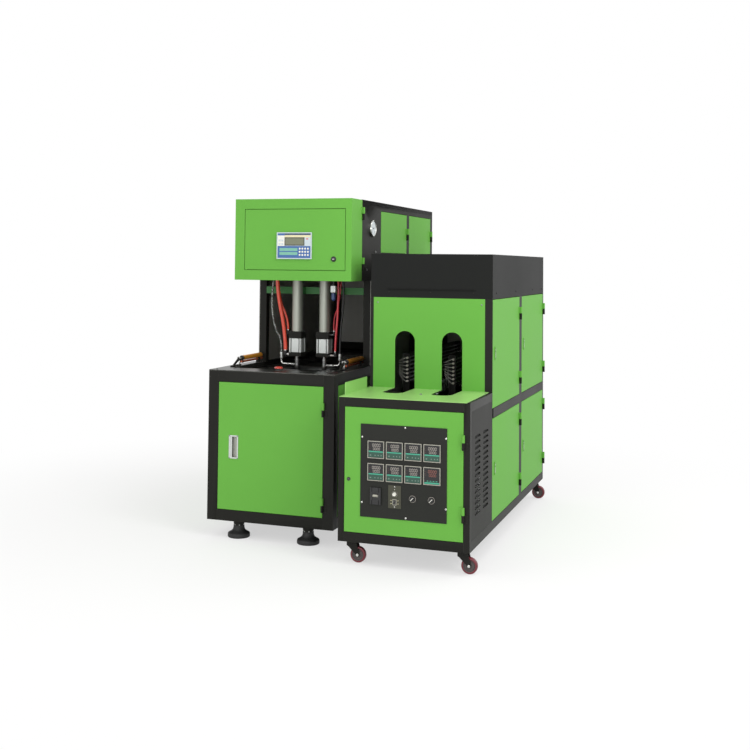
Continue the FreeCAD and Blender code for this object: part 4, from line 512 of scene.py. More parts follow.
# name: (radius, length, material, CAD node, route)
HOSES = {
    "hose_big_red": (0.010, 0.428, "red_hose", "red_hoses", [
        (0.1685, 0.480, HOSE_TOP), (0.1685, 0.480, fall(0.235, LOW_PORT)),
        (0.2105, 0.500, fall(0.753, LOW_PORT)), (0.2145, 0.500, LOW_PORT)]),
    "hose_branch_red": (0.006, 0.324, "red_hose", "red_hoses", [
        (0.1605, 0.510, HOSE_TOP), (0.1645, 0.510, fall(0.445, HIGH_PORT)),
        (0.2225, 0.515, fall(0.829, HIGH_PORT)), (0.2225, 0.515, HIGH_PORT)]),
    "hose_right_red": (0.006, 0.425, "dark_red_hose", "red_hoses", [
        (0.5205, 0.500, HOSE_TOP), (0.5225, 0.500, fall(0.447, LOW_PORT)),
        (0.5065, 0.500, fall(0.871, LOW_PORT)), (0.5065, 0.500, LOW_PORT)]),
    "hose_tee_red": (0.003, 0.319, "dark_red_hose", "red_hoses", [
        (0.5305, 0.522, HOSE_TOP), (0.5245, 0.522, fall(0.509, HIGH_PORT)),
        (0.4865, 0.515, fall(0.797, HIGH_PORT)), (0.4925, 0.515, HIGH_PORT)]),
    "hose_grey": (0.005, 0.452, "grey_hose", "air_line", [
        (0.1425, 0.500, HOSE_TOP), (0.1225, 0.500, fall(0.352, COUPLING)),
        (0.1485, 0.506, fall(0.729, COUPLING)), (0.1845, 0.515, fall(0.823, COUPLING)),
        (0.1845, 0.515, COUPLING)]),
    "hose_black": (0.005, 0.440, "black_hose", "air_line", [
        (0.5395, 0.530, HOSE_TOP), (0.5435, 0.528, fall(0.399, COUPLING)),
        (0.5275, 0.515, fall(0.729, COUPLING)), (0.5275, 0.515, COUPLING)]),
}


def hoses():
    for name, (radius, length, material, node, route) in HOSES.items():
        curve = bpy.data.curves.new(name, "CURVE")
        curve.dimensions = "3D"
        spline = curve.splines.new("NURBS")
        spline.points.add(len(route) - 1)
        for point, place in zip(spline.points, route):
            point.co = (*at(*place), 1)
        spline.order_u = 3
        spline.use_endpoint_u = True
        spline.resolution_u = 24
        curve.bevel_depth = radius
        curve.bevel_resolution = 6
        curve.use_fill_caps = True
        curve.materials.append(MATERIALS[material])
        hose = linked(name, curve)
        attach(hose, "machine")
        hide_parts(node)


def air_filter():
    """Bowl, square cap and neck of the small filter."""
    x, y, bowl, cap, neck = 0.5045, 0.470, 1.201, 1.245, 1.282
    piece = Piece("air_filter")
    piece.turned(at(x, y, bowl), Z, [(0, 0), (0.005, 0), (0.010, 0.004), (0.012, 0.011), (0.012, 0.041),
                                     (0.011, 0.044), (0, 0.044)], "blue_plastic")
    piece.turned(at(x, y, cap - 0.004), Z, rod(0.0125, 0.006), "black_plastic")
    piece.block(at(x - 0.014, y - 0.013, cap), at(x + 0.014, y + 0.013, neck), "cast_aluminium", edge=0.0025)
    rise = HOSE_TOP - neck
    piece.turned(at(x, y, neck), Z, [(0, 0), (0.0085, 0), (0.0085, 0.008), (0.006, 0.010), (0.006, rise),
                                     (0, rise)], "black_plastic")
    piece.done("machine", ["air_line"], "grey_hose")


# ---- control head ----
def head_lock():
    low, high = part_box("head_lock")
    radius = 0.014
    centre = Vector(((low.x + high.x) / 2, low.y, low.z + radius))
    piece = Piece("lock_head")
    rim = [(0, 0), (radius, 0), (radius, 0.0030), (0.0125, 0.0048), (0.0105, 0.0052), (0.0105, 0.0040),
           (0, 0.0040)]
    piece.turned(centre + Y * 0.0067, -Y, rim, "black_plastic", steps=48)
    knob = [(0, 0), (0.0098, 0), (0.0098, 0.0016), (0.0088, 0.0024), (0, 0.0024)]
    piece.turned(centre + Y * 0.0030, -Y, knob, "black_plastic", steps=40)
    piece.bar(centre, (-0.0060, 0.0003, -0.0012), (0.0060, 0.0012, 0.0012), "chrome", edge=0.0003)
    piece.turned(centre + Y * 0.006, Y, rod(0.006, 0.019), "steel", steps=24)
    piece.hex_head(centre + Y * 0.0125, Y, 0.0055)
    piece.bar(centre, (-0.007, 0.020, -0.007), (0.007, 0.023, high.z - centre.z), "steel", edge=0.0008)
    piece.done("head_lock", ["head_lock"], "chrome")


# x0, x1, z0, z1 as shares of the panel, material, distance in front of it and rounding
PANEL_FIELDS = (
    (0.03, 0.225, 0.885, 0.962, "panel_blue", 0, 0.0002),
    (0.228, 0.97, 0.900, 0.962, "panel_navy", 0, 0.0002),
    (0.228, 0.97, 0.815, 0.898, "panel_cream", 0, 0.0002),
    (0.03, 0.225, 0.490, 0.882, "off_white", 0, 0.0002),
    (0.80, 0.97, 0.490, 0.812, "panel_pale", 0, 0.0002), (0.03, 0.97, 0.040, 0.486, "panel_blue", 0, 0.0002),
    (0.228, 0.795, 0.505, 0.812, "ink_black", 0.0003, 0.0002),
    (0.246, 0.777, 0.535, 0.785, "screen", 0.0005, 0.0002),
    (0.842, 0.905, 0.735, 0.775, "red_plastic", 0.0003, 0.0002),
    (0.085, 0.60, 0.15, 0.262, "panel_teal", 0.0003, 0.0002),
    (0.085, 0.60, 0.30, 0.412, "panel_teal", 0.0003, 0.0002),
    *[(x, x + 0.055, z, z + 0.075, "panel_pale", 0.0004, 0.0003) for z in (0.52, 0.66) for x in (0.06,
                                                                                                 0.135)])


def operator_panel():
    """Membrane panel: pale bezel, strip, display in a cream field and a blue key field."""
    low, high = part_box("operator_panel")
    front = low.y + 0.001
    width, height = high.x - low.x, high.z - low.z

    def spot(share_x, share_z, y):
        return Vector((low.x + width * share_x, y, low.z + height * share_z))

    piece = Piece("operator_panel_face")
    piece.block(Vector((low.x, front + 0.0008, low.z)), high, "panel_pale", edge=0.0022)
    rim = [(*bar, "panel_pale", 0.0006, 0.0006) for bar in four_bars(0, 1, 0, 1, 0.028, 0.035, 0.02)]
    for x0, x1, z0, z1, material, proud, edge in (*rim, *PANEL_FIELDS):
        piece.block(spot(x0, z0, front - proud), spot(x1, z1, front + 0.002), material, edge=edge)
    key = [(0, -0.0004), (0.0052, -0.0004), (0.0052, 0.0006), (0.0046, 0.0009), (0, 0.0010)]
    for row in range(3):
        for column in range(4):
            place = spot(0.665 + 0.078 * column, 0.155 + 0.118 * row, front)
            piece.turned(place, -Y, key, "off_white", steps=24)
    piece.done("head_door", ["operator_panel"], "black_plastic")


# ---- pressure gauge on the tower's right side ----
# strokes of each figure, and each stroke's ends as shares of its width and height
STROKES = {"0": "abcdef", "1": "bc", "2": "abged", "3": "abgcd", "4": "fgbc", "5": "afgcd",
           "6": "afgedc", "7": "abc", "8": "abcdefg", "9": "abcfgd"}
BARS = {"a": (0, 1, 1, 1), "b": (1, 0.5, 1, 1), "c": (1, 0, 1, 0.5), "d": (0, 0, 1, 0),
        "e": (0, 0, 0, 0.5), "f": (0, 0.5, 0, 1), "g": (0, 0.5, 1, 0.5)}


def segments(piece, text, place, right, up, size, lift, material, weight=0.09):
    """Seven-segment figures: each stroke is a thin bar on the face."""
    width, thick = size * 0.55, size * weight
    out = right.cross(up)
    for index, figure in enumerate(text):
        origin = place + right * (index * width * 1.5)
        for name in STROKES[figure]:
            x0, z0, x1, z1 = BARS[name]
            a = origin + right * x0 * width + up * z0 * size
            b = origin + right * x1 * width + up * z1 * size
            along = (b - a).normalized()
            side = out.cross(along) * thick
            a, b = a + along * thick * 0.6, b - along * thick * 0.6
            piece.plate([a - side, b - side, b + side, a + side], out * lift, material, edge=0)


DIAL_START, DIAL_SWEEP = math.radians(225), math.radians(270)
NEEDLE_SHARE = 0.12
FIGURE = 0.0045


def pressure_gauge():
    low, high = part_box("pressure_gauge")
    centre = Vector((high.x, (low.y + high.y) / 2, (low.z + high.z) / 2))
    radius = (high.z - low.z) / 2
    back = centre - X * 0.012
    piece = Piece("gauge_case")
    case = [(0.030, 0), (radius, 0), (radius, 0.006), (radius - 0.001, 0.0105), (radius - 0.0030, 0.012),
            (radius - 0.0055, 0.0112), (radius - 0.0062, 0.0092), (0.0, 0.0092)]
    piece.turned(back, X, case, "chrome", steps=72)
    piece.turned(back - X * 0.0024, X, rod(0.0218, 0.003), "steel", steps=32)
    piece.turned(back + X * 0.0093, X, rod(radius - 0.0064, 0.0003), "dial_white", steps=72)
    face = back + X * 0.0096
    for tick in range(41):
        ray = spoke(DIAL_START - DIAL_SWEEP * tick / 40, Y, Z)
        numbered = tick % 8 == 0
        inner = radius - (0.0145 if numbered else 0.0110)
        half = X.cross(ray) * (0.0005 if numbered else 0.00025)
        a, b = face + ray * inner, face + ray * (radius - 0.0080)
        piece.plate([a - half, b - half, b + half, a + half], X * 0.0002, "ink_black", edge=0)
        if numbered:
            number = str(tick // 8 * 2)
            width = FIGURE * 0.55 * (1 + 1.5 * (len(number) - 1))
            spot = face + ray * (inner - 0.0055) - Y * width / 2 - Z * FIGURE / 2
            segments(piece, number, spot, Y, Z, FIGURE, 0.0002, "ink_black")
    ray = spoke(DIAL_START - DIAL_SWEEP * NEEDLE_SHARE, Y, Z)
    hub, half = face + X * 0.0008, X.cross(ray) * 0.0012
    piece.plate([hub - ray * 0.010 - half, hub + ray * 0.027, hub - ray * 0.010 + half], X * 0.0004,
                "ink_black", edge=0)
    piece.turned(face, X, [(0, 0), (0.0036, 0), (0.0036, 0.0016), (0.0024, 0.0022), (0, 0.0022)],
                 "black_plastic", steps=24)
    for turn in range(3):
        spot = back + X * 0.005 + spoke(math.radians(90 + 120 * turn), Y, Z) * (radius - 0.0002)
        piece.turned(spot, X, rod(0.0004, 0.002), "steel", steps=8)
    piece.done("machine", ["pressure_gauge"], "gauge_face")


# ---- cylinders over the table ----
CAVITIES = (0.2775, 0.4375)
CAVITY_Y = 0.515
SEAL_HALF = 0.037
SEAL_TOP, SEAL_CAP, SEAL_FOOT, SEAL_BOTTOM = 1.028, 0.990, 0.914, 0.892
BODY_RISE = SEAL_CAP - SEAL_FOOT
NOZZLE_LOW, NOZZLE_HEAD, NOZZLE_BORE = 0.816, 0.936, 0.007
# z, reach, radius, y and top of each push-in elbow
TOP_ELBOW = (1.014, 0.018, 0.007, 0.515, 1.036)
PORTS = {-1: ((0.903, 0.026, 0.011, 0.500, 0.925), TOP_ELBOW),
         1: ((0.903, 0.032, 0.008, 0.500, 0.925), TOP_ELBOW)}
PIPE_Z, PIPE_BEND = 0.848, 0.016
PIPE_REACH = {-1: 0.056, 1: 0.053}
SLEEVE_Z = COUPLING - 0.035


def seal_cylinders():
    """Black caps, bright ribbed body with tie rods, guide collar, side ports and bent pipe."""
    half, y = SEAL_HALF, CAVITY_Y
    collar = [(0.0103, 0), (0.0115, 0), (0.0125, 0.0012), (0.0125, 0.0185), (0.0112, 0.0200),
              (0.0112, 0.0290), (0.0130, 0.0305), (0.0130, 0.0410), (0.0112, 0.0420), (0.0112, 0.0540),
              (0.0103, 0.0540)]
    for name, side, x in zip(("left", "right"), (-1, 1), CAVITIES):
        piece = Piece(f"seal_cylinder_{name}")
        piece.block(at(x - half, y - half, SEAL_CAP), at(x + half, y + half, SEAL_TOP), "black_paint",
                    edge=0.003)
        piece.turned(at(x, y, SEAL_FOOT), Z, [(0.0312, 0), (0.033, 0), (0.033, BODY_RISE),
                                              (0.0312, BODY_RISE)],
                     "cast_aluminium", steps=64)
        reach = half - 0.007
        for dx in (-reach, reach):
            for dy in (-reach, reach):
                piece.turned(at(x + dx, y + dy, SEAL_FOOT), Z, rod(0.005, BODY_RISE), "cast_aluminium",
                             steps=20)
                piece.turned(at(x + dx, y + dy, SEAL_TOP - 0.0005), Z, rod(0.0035, 0.001), "steel", steps=20)
        for off in (0.006 - half, half - 0.006):
            for wide, deep, dx, dy in ((0.021, 0.003, 0, off), (0.003, 0.021, off, 0)):
                piece.block(at(x + dx - wide, y + dy - deep, SEAL_FOOT),
                            at(x + dx + wide, y + dy + deep, SEAL_CAP),
                            "cast_aluminium", edge=0.002)
        piece.block(at(x - half, y - half, SEAL_BOTTOM), at(x + half, y + half, SEAL_FOOT), "black_paint",
                    edge=0.003)
        piece.turned(at(x, y, PIPE_Z - 0.010), Z, collar, "steel", steps=48)
        ports(piece, x, side)
        bent_pipe(piece, x, side)
        piece.done("machine", ["seal_cylinders"], "aluminium_tube")


def seal_nozzles():
    """Hollow piston rod with its piston, collar and flared tip; the stretch rod runs through it."""
    rise = NOZZLE_HEAD - NOZZLE_LOW
    profile = [(NOZZLE_BORE, 0), (0.0095, 0), (0.0145, 0.012), (0.0145, 0.0235), (0.0135, 0.0245),
               (0.010, 0.0245), (0.010, rise), (0.0300, rise), (0.0308, rise + 0.001), (0.0308, rise + 0.017),
               (0.0300, rise + 0.018), (NOZZLE_BORE, rise + 0.018), (NOZZLE_BORE, 0)]
    for name, x in zip(("left", "right"), CAVITIES):
        piece = Piece(f"nozzle_{name}")
        # the nozzle's chrome is drawn darker: painted dark reflection
        piece.turned(at(x, CAVITY_Y, NOZZLE_LOW), Z, profile, "steel_painted_dark_reflection", steps=48)
        piece.done(f"seal_nozzle_{name}", [f"seal_nozzle_{name}"], "chrome")


def ports(piece, x, side):
    """Two push-in elbows on the cylinder's side, each with its release ring under the hose."""
    face = x + side * SEAL_HALF
    for z, reach, radius, y, top in PORTS[side]:
        stem = [(0, 0), (radius * 0.85, 0), (radius * 0.85, reach * 0.35), (radius * 0.6, reach * 0.4),
                (radius * 0.6, reach), (0, reach)]
        piece.turned(at(face, y, z), X * side, stem, "chrome", steps=6)
        rise = top - z + radius * 0.9
        elbow = [(0, 0), (radius * 0.8, 0), (radius, radius * 0.3), (radius, rise - 0.004),
                 (radius * 0.9, rise - 0.003), (0, rise - 0.003)]
        piece.turned(at(face + side * reach, y, z - radius * 0.9), Z, elbow, "black_plastic", steps=28)
        piece.turned(at(face + side * reach, y, top - 0.003), Z, rod(radius * 0.86, 0.003), "chrome",
                     steps=28)


def bent_pipe(piece, x, side):
    """Pipe from the blow head, bent up into the hose's coupling."""
    pipe_x = x + side * (SEAL_HALF + PIPE_REACH[side])
    corner = at(pipe_x - side * PIPE_BEND, CAVITY_Y, PIPE_Z + PIPE_BEND)
    bend = [corner + spoke(math.pi / 2 * step / 8, -Z, X * side) * PIPE_BEND for step in range(9)]
    piece.pipe([at(x + side * 0.012, CAVITY_Y, PIPE_Z), *bend, at(pipe_x, CAVITY_Y, SLEEVE_Z + 0.005)],
               0.0052, "chrome")
    for place, radius, length in ((0.0125, 0.0080, 0.010), (0.0260, 0.0070, 0.006), (0.0480, 0.0075, 0.009)):
        piece.turned(at(x + side * place, CAVITY_Y, PIPE_Z), X * side, rod(radius, length), "chrome", steps=6)
    sleeve = [(0, 0), (0.0075, 0), (0.009, 0.002), (0.009, 0.012), (0.0078, 0.013), (0.0078, 0.017),
              (0.009, 0.018), (0.009, 0.031), (0.0082, 0.035), (0, 0.035)]
    piece.turned(at(pipe_x, CAVITY_Y, SLEEVE_Z), Z, sleeve, "cast_aluminium", steps=28)


def barrel_clamp_screws():
    piece = Piece("barrel_fittings")
    for x in CAVITIES:
        for dx, dy in ((0.022, 0.002), (-0.022, 0.038)):
            piece.hex_head(at(x + dx, CAVITY_Y + dy, 1.270), Z, 0.004)
    piece.done("machine")


# ---- side cylinders and their sliding brackets ----
SIDE_Z = 0.889
SIDE_FRONT, SIDE_BACK = 0.292, 0.560
SIDE_X = (0.045, 0.643)
BRACKET_FOOT = 0.8514
GUIDE_DROP = 0.020


def side_cylinders():
    piece = Piece("side_barrels")
    length = SIDE_BACK - SIDE_FRONT
    front_cap = [(0.0055, 0), (0.011, 0), (0.013, 0.002), (0.013, 0.010), (0.0122, 0.011), (0.0122, 0.0135),
                 (0.0055, 0.0135)]
    barrel = [(0.010, 0), (0.0128, 0), (0.0128, length - 0.030), (0.010, length - 0.030)]
    rear_cap = [(0, 0), (0.013, 0), (0.013, 0.016), (0.011, 0.017), (0, 0.017)]
    guide = [(0, 0), (0.0052, 0), (0.006, 0.001), (0.006, length), (0, length)]
    for x in SIDE_X:
        front = at(x, SIDE_FRONT, SIDE_Z)
        piece.turned(front, Y, front_cap, "black_plastic", steps=40)
        piece.turned(front + Y * 0.0132, Y, barrel, "gold", steps=48)
        piece.turned(front + Y * (length - 0.0170), Y, rear_cap, "black_plastic", steps=40)
        piece.turned(front - Z * GUIDE_DROP, Y, guide, "copper", steps=24)
        piece.block(at(x - 0.009, 0.500, 0.8512), at(x + 0.009, 0.520, SIDE_Z - 0.0115), "black_paint",
                    edge=0.0015)
        piece.bar(front, (-0.0085, 0.001, -0.0262), (0.0085, 0.010, -0.010), "black_plastic", edge=0.0012)
        piece.hex_head(front + Vector((0, 0.030, 0.0118)), Z, 0.0032, "chrome")
    piece.done("machine", ["side_cylinders"], "gold_barrel")


def side_carriages():
    """Rod with its piston, fork with pin, slanted strut, and foot screwed to the table."""
    cheek = ((-0.014, -0.008), (0.004, -0.008), (0.008, -0.004), (0.008, 0.004), (0.004, 0.008),
             (-0.014, 0.008))
    pin = [(0, 0), (0.0035, 0), (0.004, 0.0006), (0.004, 0.0254), (0.0035, 0.026), (0, 0.026)]
    foot_drop = BRACKET_FOOT - SIDE_Z
    strut = ((-0.096, foot_drop), (-0.078, foot_drop), (0.002, -0.006), (-0.012, 0.005))
    for name, x in zip(("left", "right"), SIDE_X):
        end = at(x, SIDE_FRONT - 0.022, SIDE_Z)
        piece = Piece(f"side_fork_{name}")
        piece.turned(end, Y, rod(0.005, 0.148), "chrome", steps=24)
        piece.turned(end + Y * 0.148, Y, rod(0.0097, 0.010), "black_plastic", steps=32)
        for way in (-1, 1):
            outline = [end + Vector((way * 0.0045, dy, dz)) for dy, dz in cheek]
            piece.plate(outline, X * way * 0.0045, "chrome", edge=0.0008)
        piece.turned(end + Y * 0.0065, Y, rod(0.0078, 0.006), "chrome", steps=6)
        piece.turned(end + Vector((-0.013, -0.004, 0)), X, pin, "steel", steps=24)
        outline = [end + Vector((-0.004, dy, dz)) for dy, dz in strut]
        piece.plate(outline, X * 0.008, "black_paint", edge=0.001)
        piece.bar(end, (-0.0038, -0.008, foot_drop), (0.0038, 0.004, 0), "chrome", edge=0.0012)
        piece.bar(end, (-0.009, -0.098, foot_drop), (0.009, 0.006, foot_drop + 0.006), "black_paint",
                  edge=0.0012)
        for y in (-0.060, -0.010):
            piece.screw(end + Vector((-0.0065, y, foot_drop + 0.006)), Z, 0.0022)
        piece.done(f"side_carriage_{name}", [f"side_carriage_{name}"], "chrome")


# ---- base: button, pull and feet ----
FEET_X, FEET_Y = (0.153, 0.535), (0.060, 1.740)
DOME_RISE = 0.0068


def start_button():
    low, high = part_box("start_button")
    centre = Vector(((low.x + high.x) / 2, (low.y + high.y) / 2, low.z))
    radius, top = (high.x - low.x) / 2, high.z - low.z
    piece = Piece("start_button_head")
    stem = [(0, 0), (0.0085, 0), (0.009, 0.0006), (0.009, top - 0.0115), (0, top - 0.0115)]
    piece.turned(centre, Z, stem, "black_plastic", steps=32)
    dome = [(0, top - 0.0118), (radius - 0.0025, top - 0.0118), (radius, top - 0.0100),
            (radius, top - DOME_RISE)]
    for step in range(1, 8):
        angle = math.pi / 2 * step / 8
        dome.append((radius * math.cos(angle), top - DOME_RISE + DOME_RISE * math.sin(angle)))
    piece.turned(centre, Z, [*dome, (0, top)], "red_plastic", steps=56)
    piece.done("start_button", ["start_button"], "red_plastic")


def door_pull():
    """Flush pull: a rounded rim round a sunk dish with a finger lip."""
    low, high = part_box("door_handle")
    rim, wall, back = 0.007, 0.0015, high.y
    face = low.y + 0.0025
    piece = Piece("door_pull")
    for x0, x1, z0, z1 in four_bars(low.x, high.x, low.z, high.z, rim, rim, 0.001):
        piece.block((x0, low.y, z0), (x1, face, z1), "cast_aluminium", edge=0.0011)
    inner = Vector((low.x + rim - 0.002, face - 0.001, low.z + rim - 0.002))
    far_x, far_z = high.x - rim + 0.002, high.z - rim + 0.002
    piece.block((inner.x, back - wall, inner.z), (far_x, back, far_z), "aluminium", edge=0.0004)
    for x0, x1, z0, z1 in four_bars(inner.x, far_x, inner.z, far_z, wall, wall, 0):
        piece.block((x0, inner.y, z0), (x1, back, z1), "aluminium", edge=0.0004)
    lip = [(inner.x + dx, face + dy, inner.z) for dx, dy in ((0, -0.0005), (0.013, -0.0005),
                                                             (0.009, 0.006), (0, 0.006))]
    piece.plate(lip, Z * (far_z - inner.z), "cast_aluminium", edge=0.0004)
    piece.done("base_door", ["door_handle"], "black_plastic")


def levelling_feet():
    piece = Piece("rubber_feet")
    bell = [(0, 0), (0.053, 0), (0.0565, 0.003), (0.057, 0.010), (0.0565, 0.019), (0.054, 0.0225),
            (0.047, 0.0265), (0.037, 0.0325), (0.031, 0.0395), (0.0282, 0.049), (0.0278, 0.060), (0, 0.060)]
    neck = [(0, 0), (0.0255, 0), (0.0255, 0.006), (0.0278, 0.007), (0.0278, 0.0275), (0, 0.0275)]
    for x in FEET_X:
        for y in FEET_Y:
            piece.turned(at(x, y, 0), Z, bell, "rubber", steps=64)
            piece.turned(at(x, y, 0.060), Z, neck, "black_paint", steps=48)
            piece.turned(at(x, y, 0.0605), Z, rod(0.027, 0.005), "steel", steps=6)
    piece.done("machine", ["levelling_feet"], "foot_rubber")


# ---- heater's control panel ----
PANEL_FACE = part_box("control_panel")[0].y + 0.008
METER = 0.080
METER_COLUMNS = [0.949 + 0.0895 * column for column in range(4)]
METER_ROWS = (0.399, 0.502)
METER_PROUD = 0.006
KNOB_X, KNOB_Z = 1.081, 0.3451
PLATE_PROUD = 0.003
ROCKER = (1.081, 0.30835)
SELECTORS, SELECTOR_Z = {"selector_left": 1.166, "selector_right": 1.2555}, 0.329
SELECTOR_REST = 45.0
BREAKER_Z = 0.330


def on_panel(x, z, proud=0.0):
    """Point on the control panel's face; proud is the distance in front of it."""
    return Vector((BLOWER_CORNER.x + x, PANEL_FACE - proud, z))


def panel_block(piece, x0, x1, z0, z1, proud, material, edge=0.0004):
    piece.block(on_panel(x0, z0, proud), on_panel(x1, z1), material, edge=edge)


def control_plate():
    """Panel with its screws, breaker housing, regulator plate, selector rings and rocker frame."""
    low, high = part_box("control_panel")
    piece = Piece("control_plate")
    piece.block((low.x, PANEL_FACE, low.z), (high.x, PANEL_FACE + 0.003, high.z), "panel_black", edge=0.0008)
    left, right = low.x - BLOWER_CORNER.x, high.x - BLOWER_CORNER.x
    for x, z in ((1.129, high.z - 0.008), (1.134, low.z + 0.009), (left + 0.008, 0.597),
                 (left + 0.008, 0.296),
                 (right - 0.005, 0.612), (right - 0.004, 0.295)):
        piece.screw(on_panel(x, z), -Y, 0.0045, "chrome")
    housing = (0.963, 1.016, 0.291, 0.369)
    panel_block(piece, *housing, 0.0065, "black_plastic", edge=0.002)
    for bar in four_bars(*housing, 0.012, 0.022, 0.007):
        panel_block(piece, *bar, 0.008, "black_plastic", edge=0.0012)
    panel_block(piece, 1.050, 1.112, 0.280, 0.385, PLATE_PROUD, "plate_olive", edge=0.0012)
    for z in (0.2865, 0.3785):
        piece.screw(on_panel(KNOB_X, z, PLATE_PROUD), -Y, 0.0028, "chrome")
    for index in range(11):
        place = on_panel(KNOB_X, KNOB_Z, PLATE_PROUD) + spoke(DIAL_START - DIAL_SWEEP * index / 10) * 0.0135
        piece.turned(place, -Y, rod(0.0009, 0.0002), "white_mark", steps=10)
    piece.turned(on_panel(KNOB_X, 0.3665, PLATE_PROUD), -Y,
                 [(0, 0), (0.0018, 0), (0.0014, 0.0010), (0, 0.0014)],
                 "white_mark", steps=12)
    for x in (KNOB_X - 0.0165, KNOB_X + 0.0165):
        for z in (0.3010, 0.3155):
            panel_block(piece, x - 0.0035, x + 0.0035, z, z + 0.0016, 0.0032, "panel_cream", edge=0)
    ring = [(0.0132, -0.0005), (0.0162, -0.0005), (0.0162, 0.0016), (0.0150, 0.0024), (0.0138, 0.0018),
            (0.0132, 0.0010)]
    for x in SELECTORS.values():
        piece.turned(on_panel(x, SELECTOR_Z), -Y, ring, "digit_grey", steps=48)
    x, z = ROCKER
    for bar in four_bars(x - 0.0095, x + 0.0095, z - 0.0135, z + 0.0135, 0.0027, 0.0027, 0.0015):
        panel_block(piece, *bar, 0.0042, "bezel_grey", edge=0.0006)
    piece.done("heater_door", ["control_panel"], "grey_panel")


def meters():
    for row, z in enumerate(METER_ROWS):
        for column, x in enumerate(METER_COLUMNS):
            meter(f"meter_{row}_{column}", x, z, timer=row == 0 and column == 3)


def meter(name, x, z, timer):
    """Panel meter: bezel, dark window with two rows of figures, teal band and keys."""
    piece = Piece(name)
    x1, z1 = x + METER, z + METER
    face = METER_PROUD - 0.0020
    panel_block(piece, x + 0.002, x1 - 0.002, z + 0.002, z1 - 0.002, face, "meter_glass")
    for bar in four_bars(x, x1, z, z1, 0.0034, 0.0034, 0.001):
        panel_block(piece, *bar, METER_PROUD, "bezel_grey", edge=0.0012)

    def mark(a0, a1, b0, b1, proud, material, edge):
        panel_block(piece, x + a0, x + a1, z + b0, z + b1, face + proud, material, edge=edge)

    if timer:
        mark(0.005, METER - 0.005, 0.0055, 0.0125, 0.0004, "teal", 0.0002)
        for key_x in (0.016, 0.030, 0.044, 0.058):
            mark(key_x, key_x + 0.008, 0.0165, 0.0195, 0.0006, "teal", 0.0003)
    else:
        mark(0.005, METER - 0.005, 0.0285, 0.0340, 0.0004, "teal", 0.0002)
        mark(0.005, METER - 0.005, 0.005, 0.0277, 0.0002, "key_green", 0.0002)
        for key_x, half in ((0.0145, 0.0035), (0.037, 0.0022), (0.052, 0.0022), (0.066, 0.0022)):
            mark(key_x - half, key_x + half, 0.0125, 0.0167, 0.0006, "key_mark", 0.0003)
    figures = "digit_red" if timer else "digit_grey"
    for dx, dz, size in ((0.0235, 0.0545, 0.0125), (0.0275, 0.0385, 0.0105)):
        segments(piece, "0000", on_panel(x + dx, z + dz, face + 0.0001), X, Z, size, 0.0003, figures, 0.13)
    for index in range(3):
        lamp = on_panel(x + 0.0115, z + 0.044 + 0.008 * index, face)
        piece.turned(lamp, -Y, rod(0.0011, 0.0004), "digit_red", steps=10)
    case_low = on_panel(x + 0.004, z + 0.004, -0.003)
    case_high = Vector((BLOWER_CORNER.x + x1 - 0.004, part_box("control_panel")[1].y, z1 - 0.004))
    piece.block(case_low, case_high, "black_plastic", edge=0.002)
    for index in range(10):
        terminal = Vector((case_low.x + 0.008 + 0.0062 * index, case_high.y - 0.0002, z + 0.020))
        piece.turned(terminal, Y, rod(0.0022, 0.0002), "steel", steps=10)
    piece.done("heater_door", ["control_panel"], "grey_panel")


def knobs():
    """Speed knob and the two selectors, each with its grip and pointer line."""
    speed = on_panel(KNOB_X, KNOB_Z, PLATE_PROUD)
    piece = Piece("speed_knob_cap")
    cap = [(0, 0), (0.009, 0), (0.009, 0.0030), (0.0078, 0.0038), (0.0072, 0.0108), (0.0062, 0.0117),
           (0, 0.0117)]
    piece.turned(speed - Y * 0.0003, -Y, cap, "off_white", steps=40)
    for index in range(18):
        rib = speed + spoke(2 * math.pi * index / 18) * 0.0074 - Y * 0.0040
        piece.turned(rib, -Y, rod(0.0006, 0.0066), "off_white", steps=8)
    piece.bar(speed, (-0.0005, -0.0120, 0.0010), (0.0005, -0.0112, 0.0060), "ink_black", edge=0.0001)
    piece.turned(speed + Y * 0.0002, Y, rod(0.004, 0.0058), "steel", steps=16)
    piece.done("speed_knob", ["speed_knob"], "black_plastic")
    turn = Matrix.Rotation(math.radians(SELECTOR_REST), 3, "Y")
    base = [(0, 0), (0.0128, 0), (0.0128, 0.0042), (0.0118, 0.0062), (0, 0.0066)]
    for name, x in SELECTORS.items():
        centre = on_panel(x, SELECTOR_Z)
        piece = Piece(f"{name}_grip")
        piece.turned(centre - Y * 0.0003, -Y, base, "black_plastic", steps=48)
        piece.bar(centre, (-0.0042, -0.0140, -0.0120), (0.0042, -0.0060, 0.0120), "black_plastic", 0.0016,
                  turn)
        piece.bar(centre, (-0.0013, -0.0142, -0.0100), (0.0013, -0.0134, 0.0112), "off_white", 0.0002, turn)
        piece.turned(centre + Y * 0.0002, Y, rod(0.004, 0.0028), "steel", steps=16)
        piece.done(name, [name], "black_plastic")


def breaker_lever():
    low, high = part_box("breaker_lever")
    half, axis = 0.0135, Vector(((low.x + high.x) / 2, PANEL_FACE - 0.001, BREAKER_Z))
    piece = Piece("breaker_toggle")
    barrel = [(0, 0), (0.0064, 0), (0.0068, 0.0006), (0.0068, 2 * half - 0.0006), (0.0064, 2 * half),
              (0, 2 * half)]
    piece.turned(axis - X * half, X, barrel, "bezel_grey", steps=36)
    piece.turned(axis - X * (half + 0.004), X, rod(0.0015, 0.035), "steel", steps=12)
    turn = Matrix.Rotation(math.radians(-18), 3, "X")
    piece.bar(axis + turn @ Vector((0, -0.0078, 0)), (-0.0105, -0.0080, -0.0040), (0.0105, 0.0080, 0.0040),
              "bezel_grey", 0.0016, turn)
    piece.done("breaker_lever", ["breaker_lever"], "black_plastic")


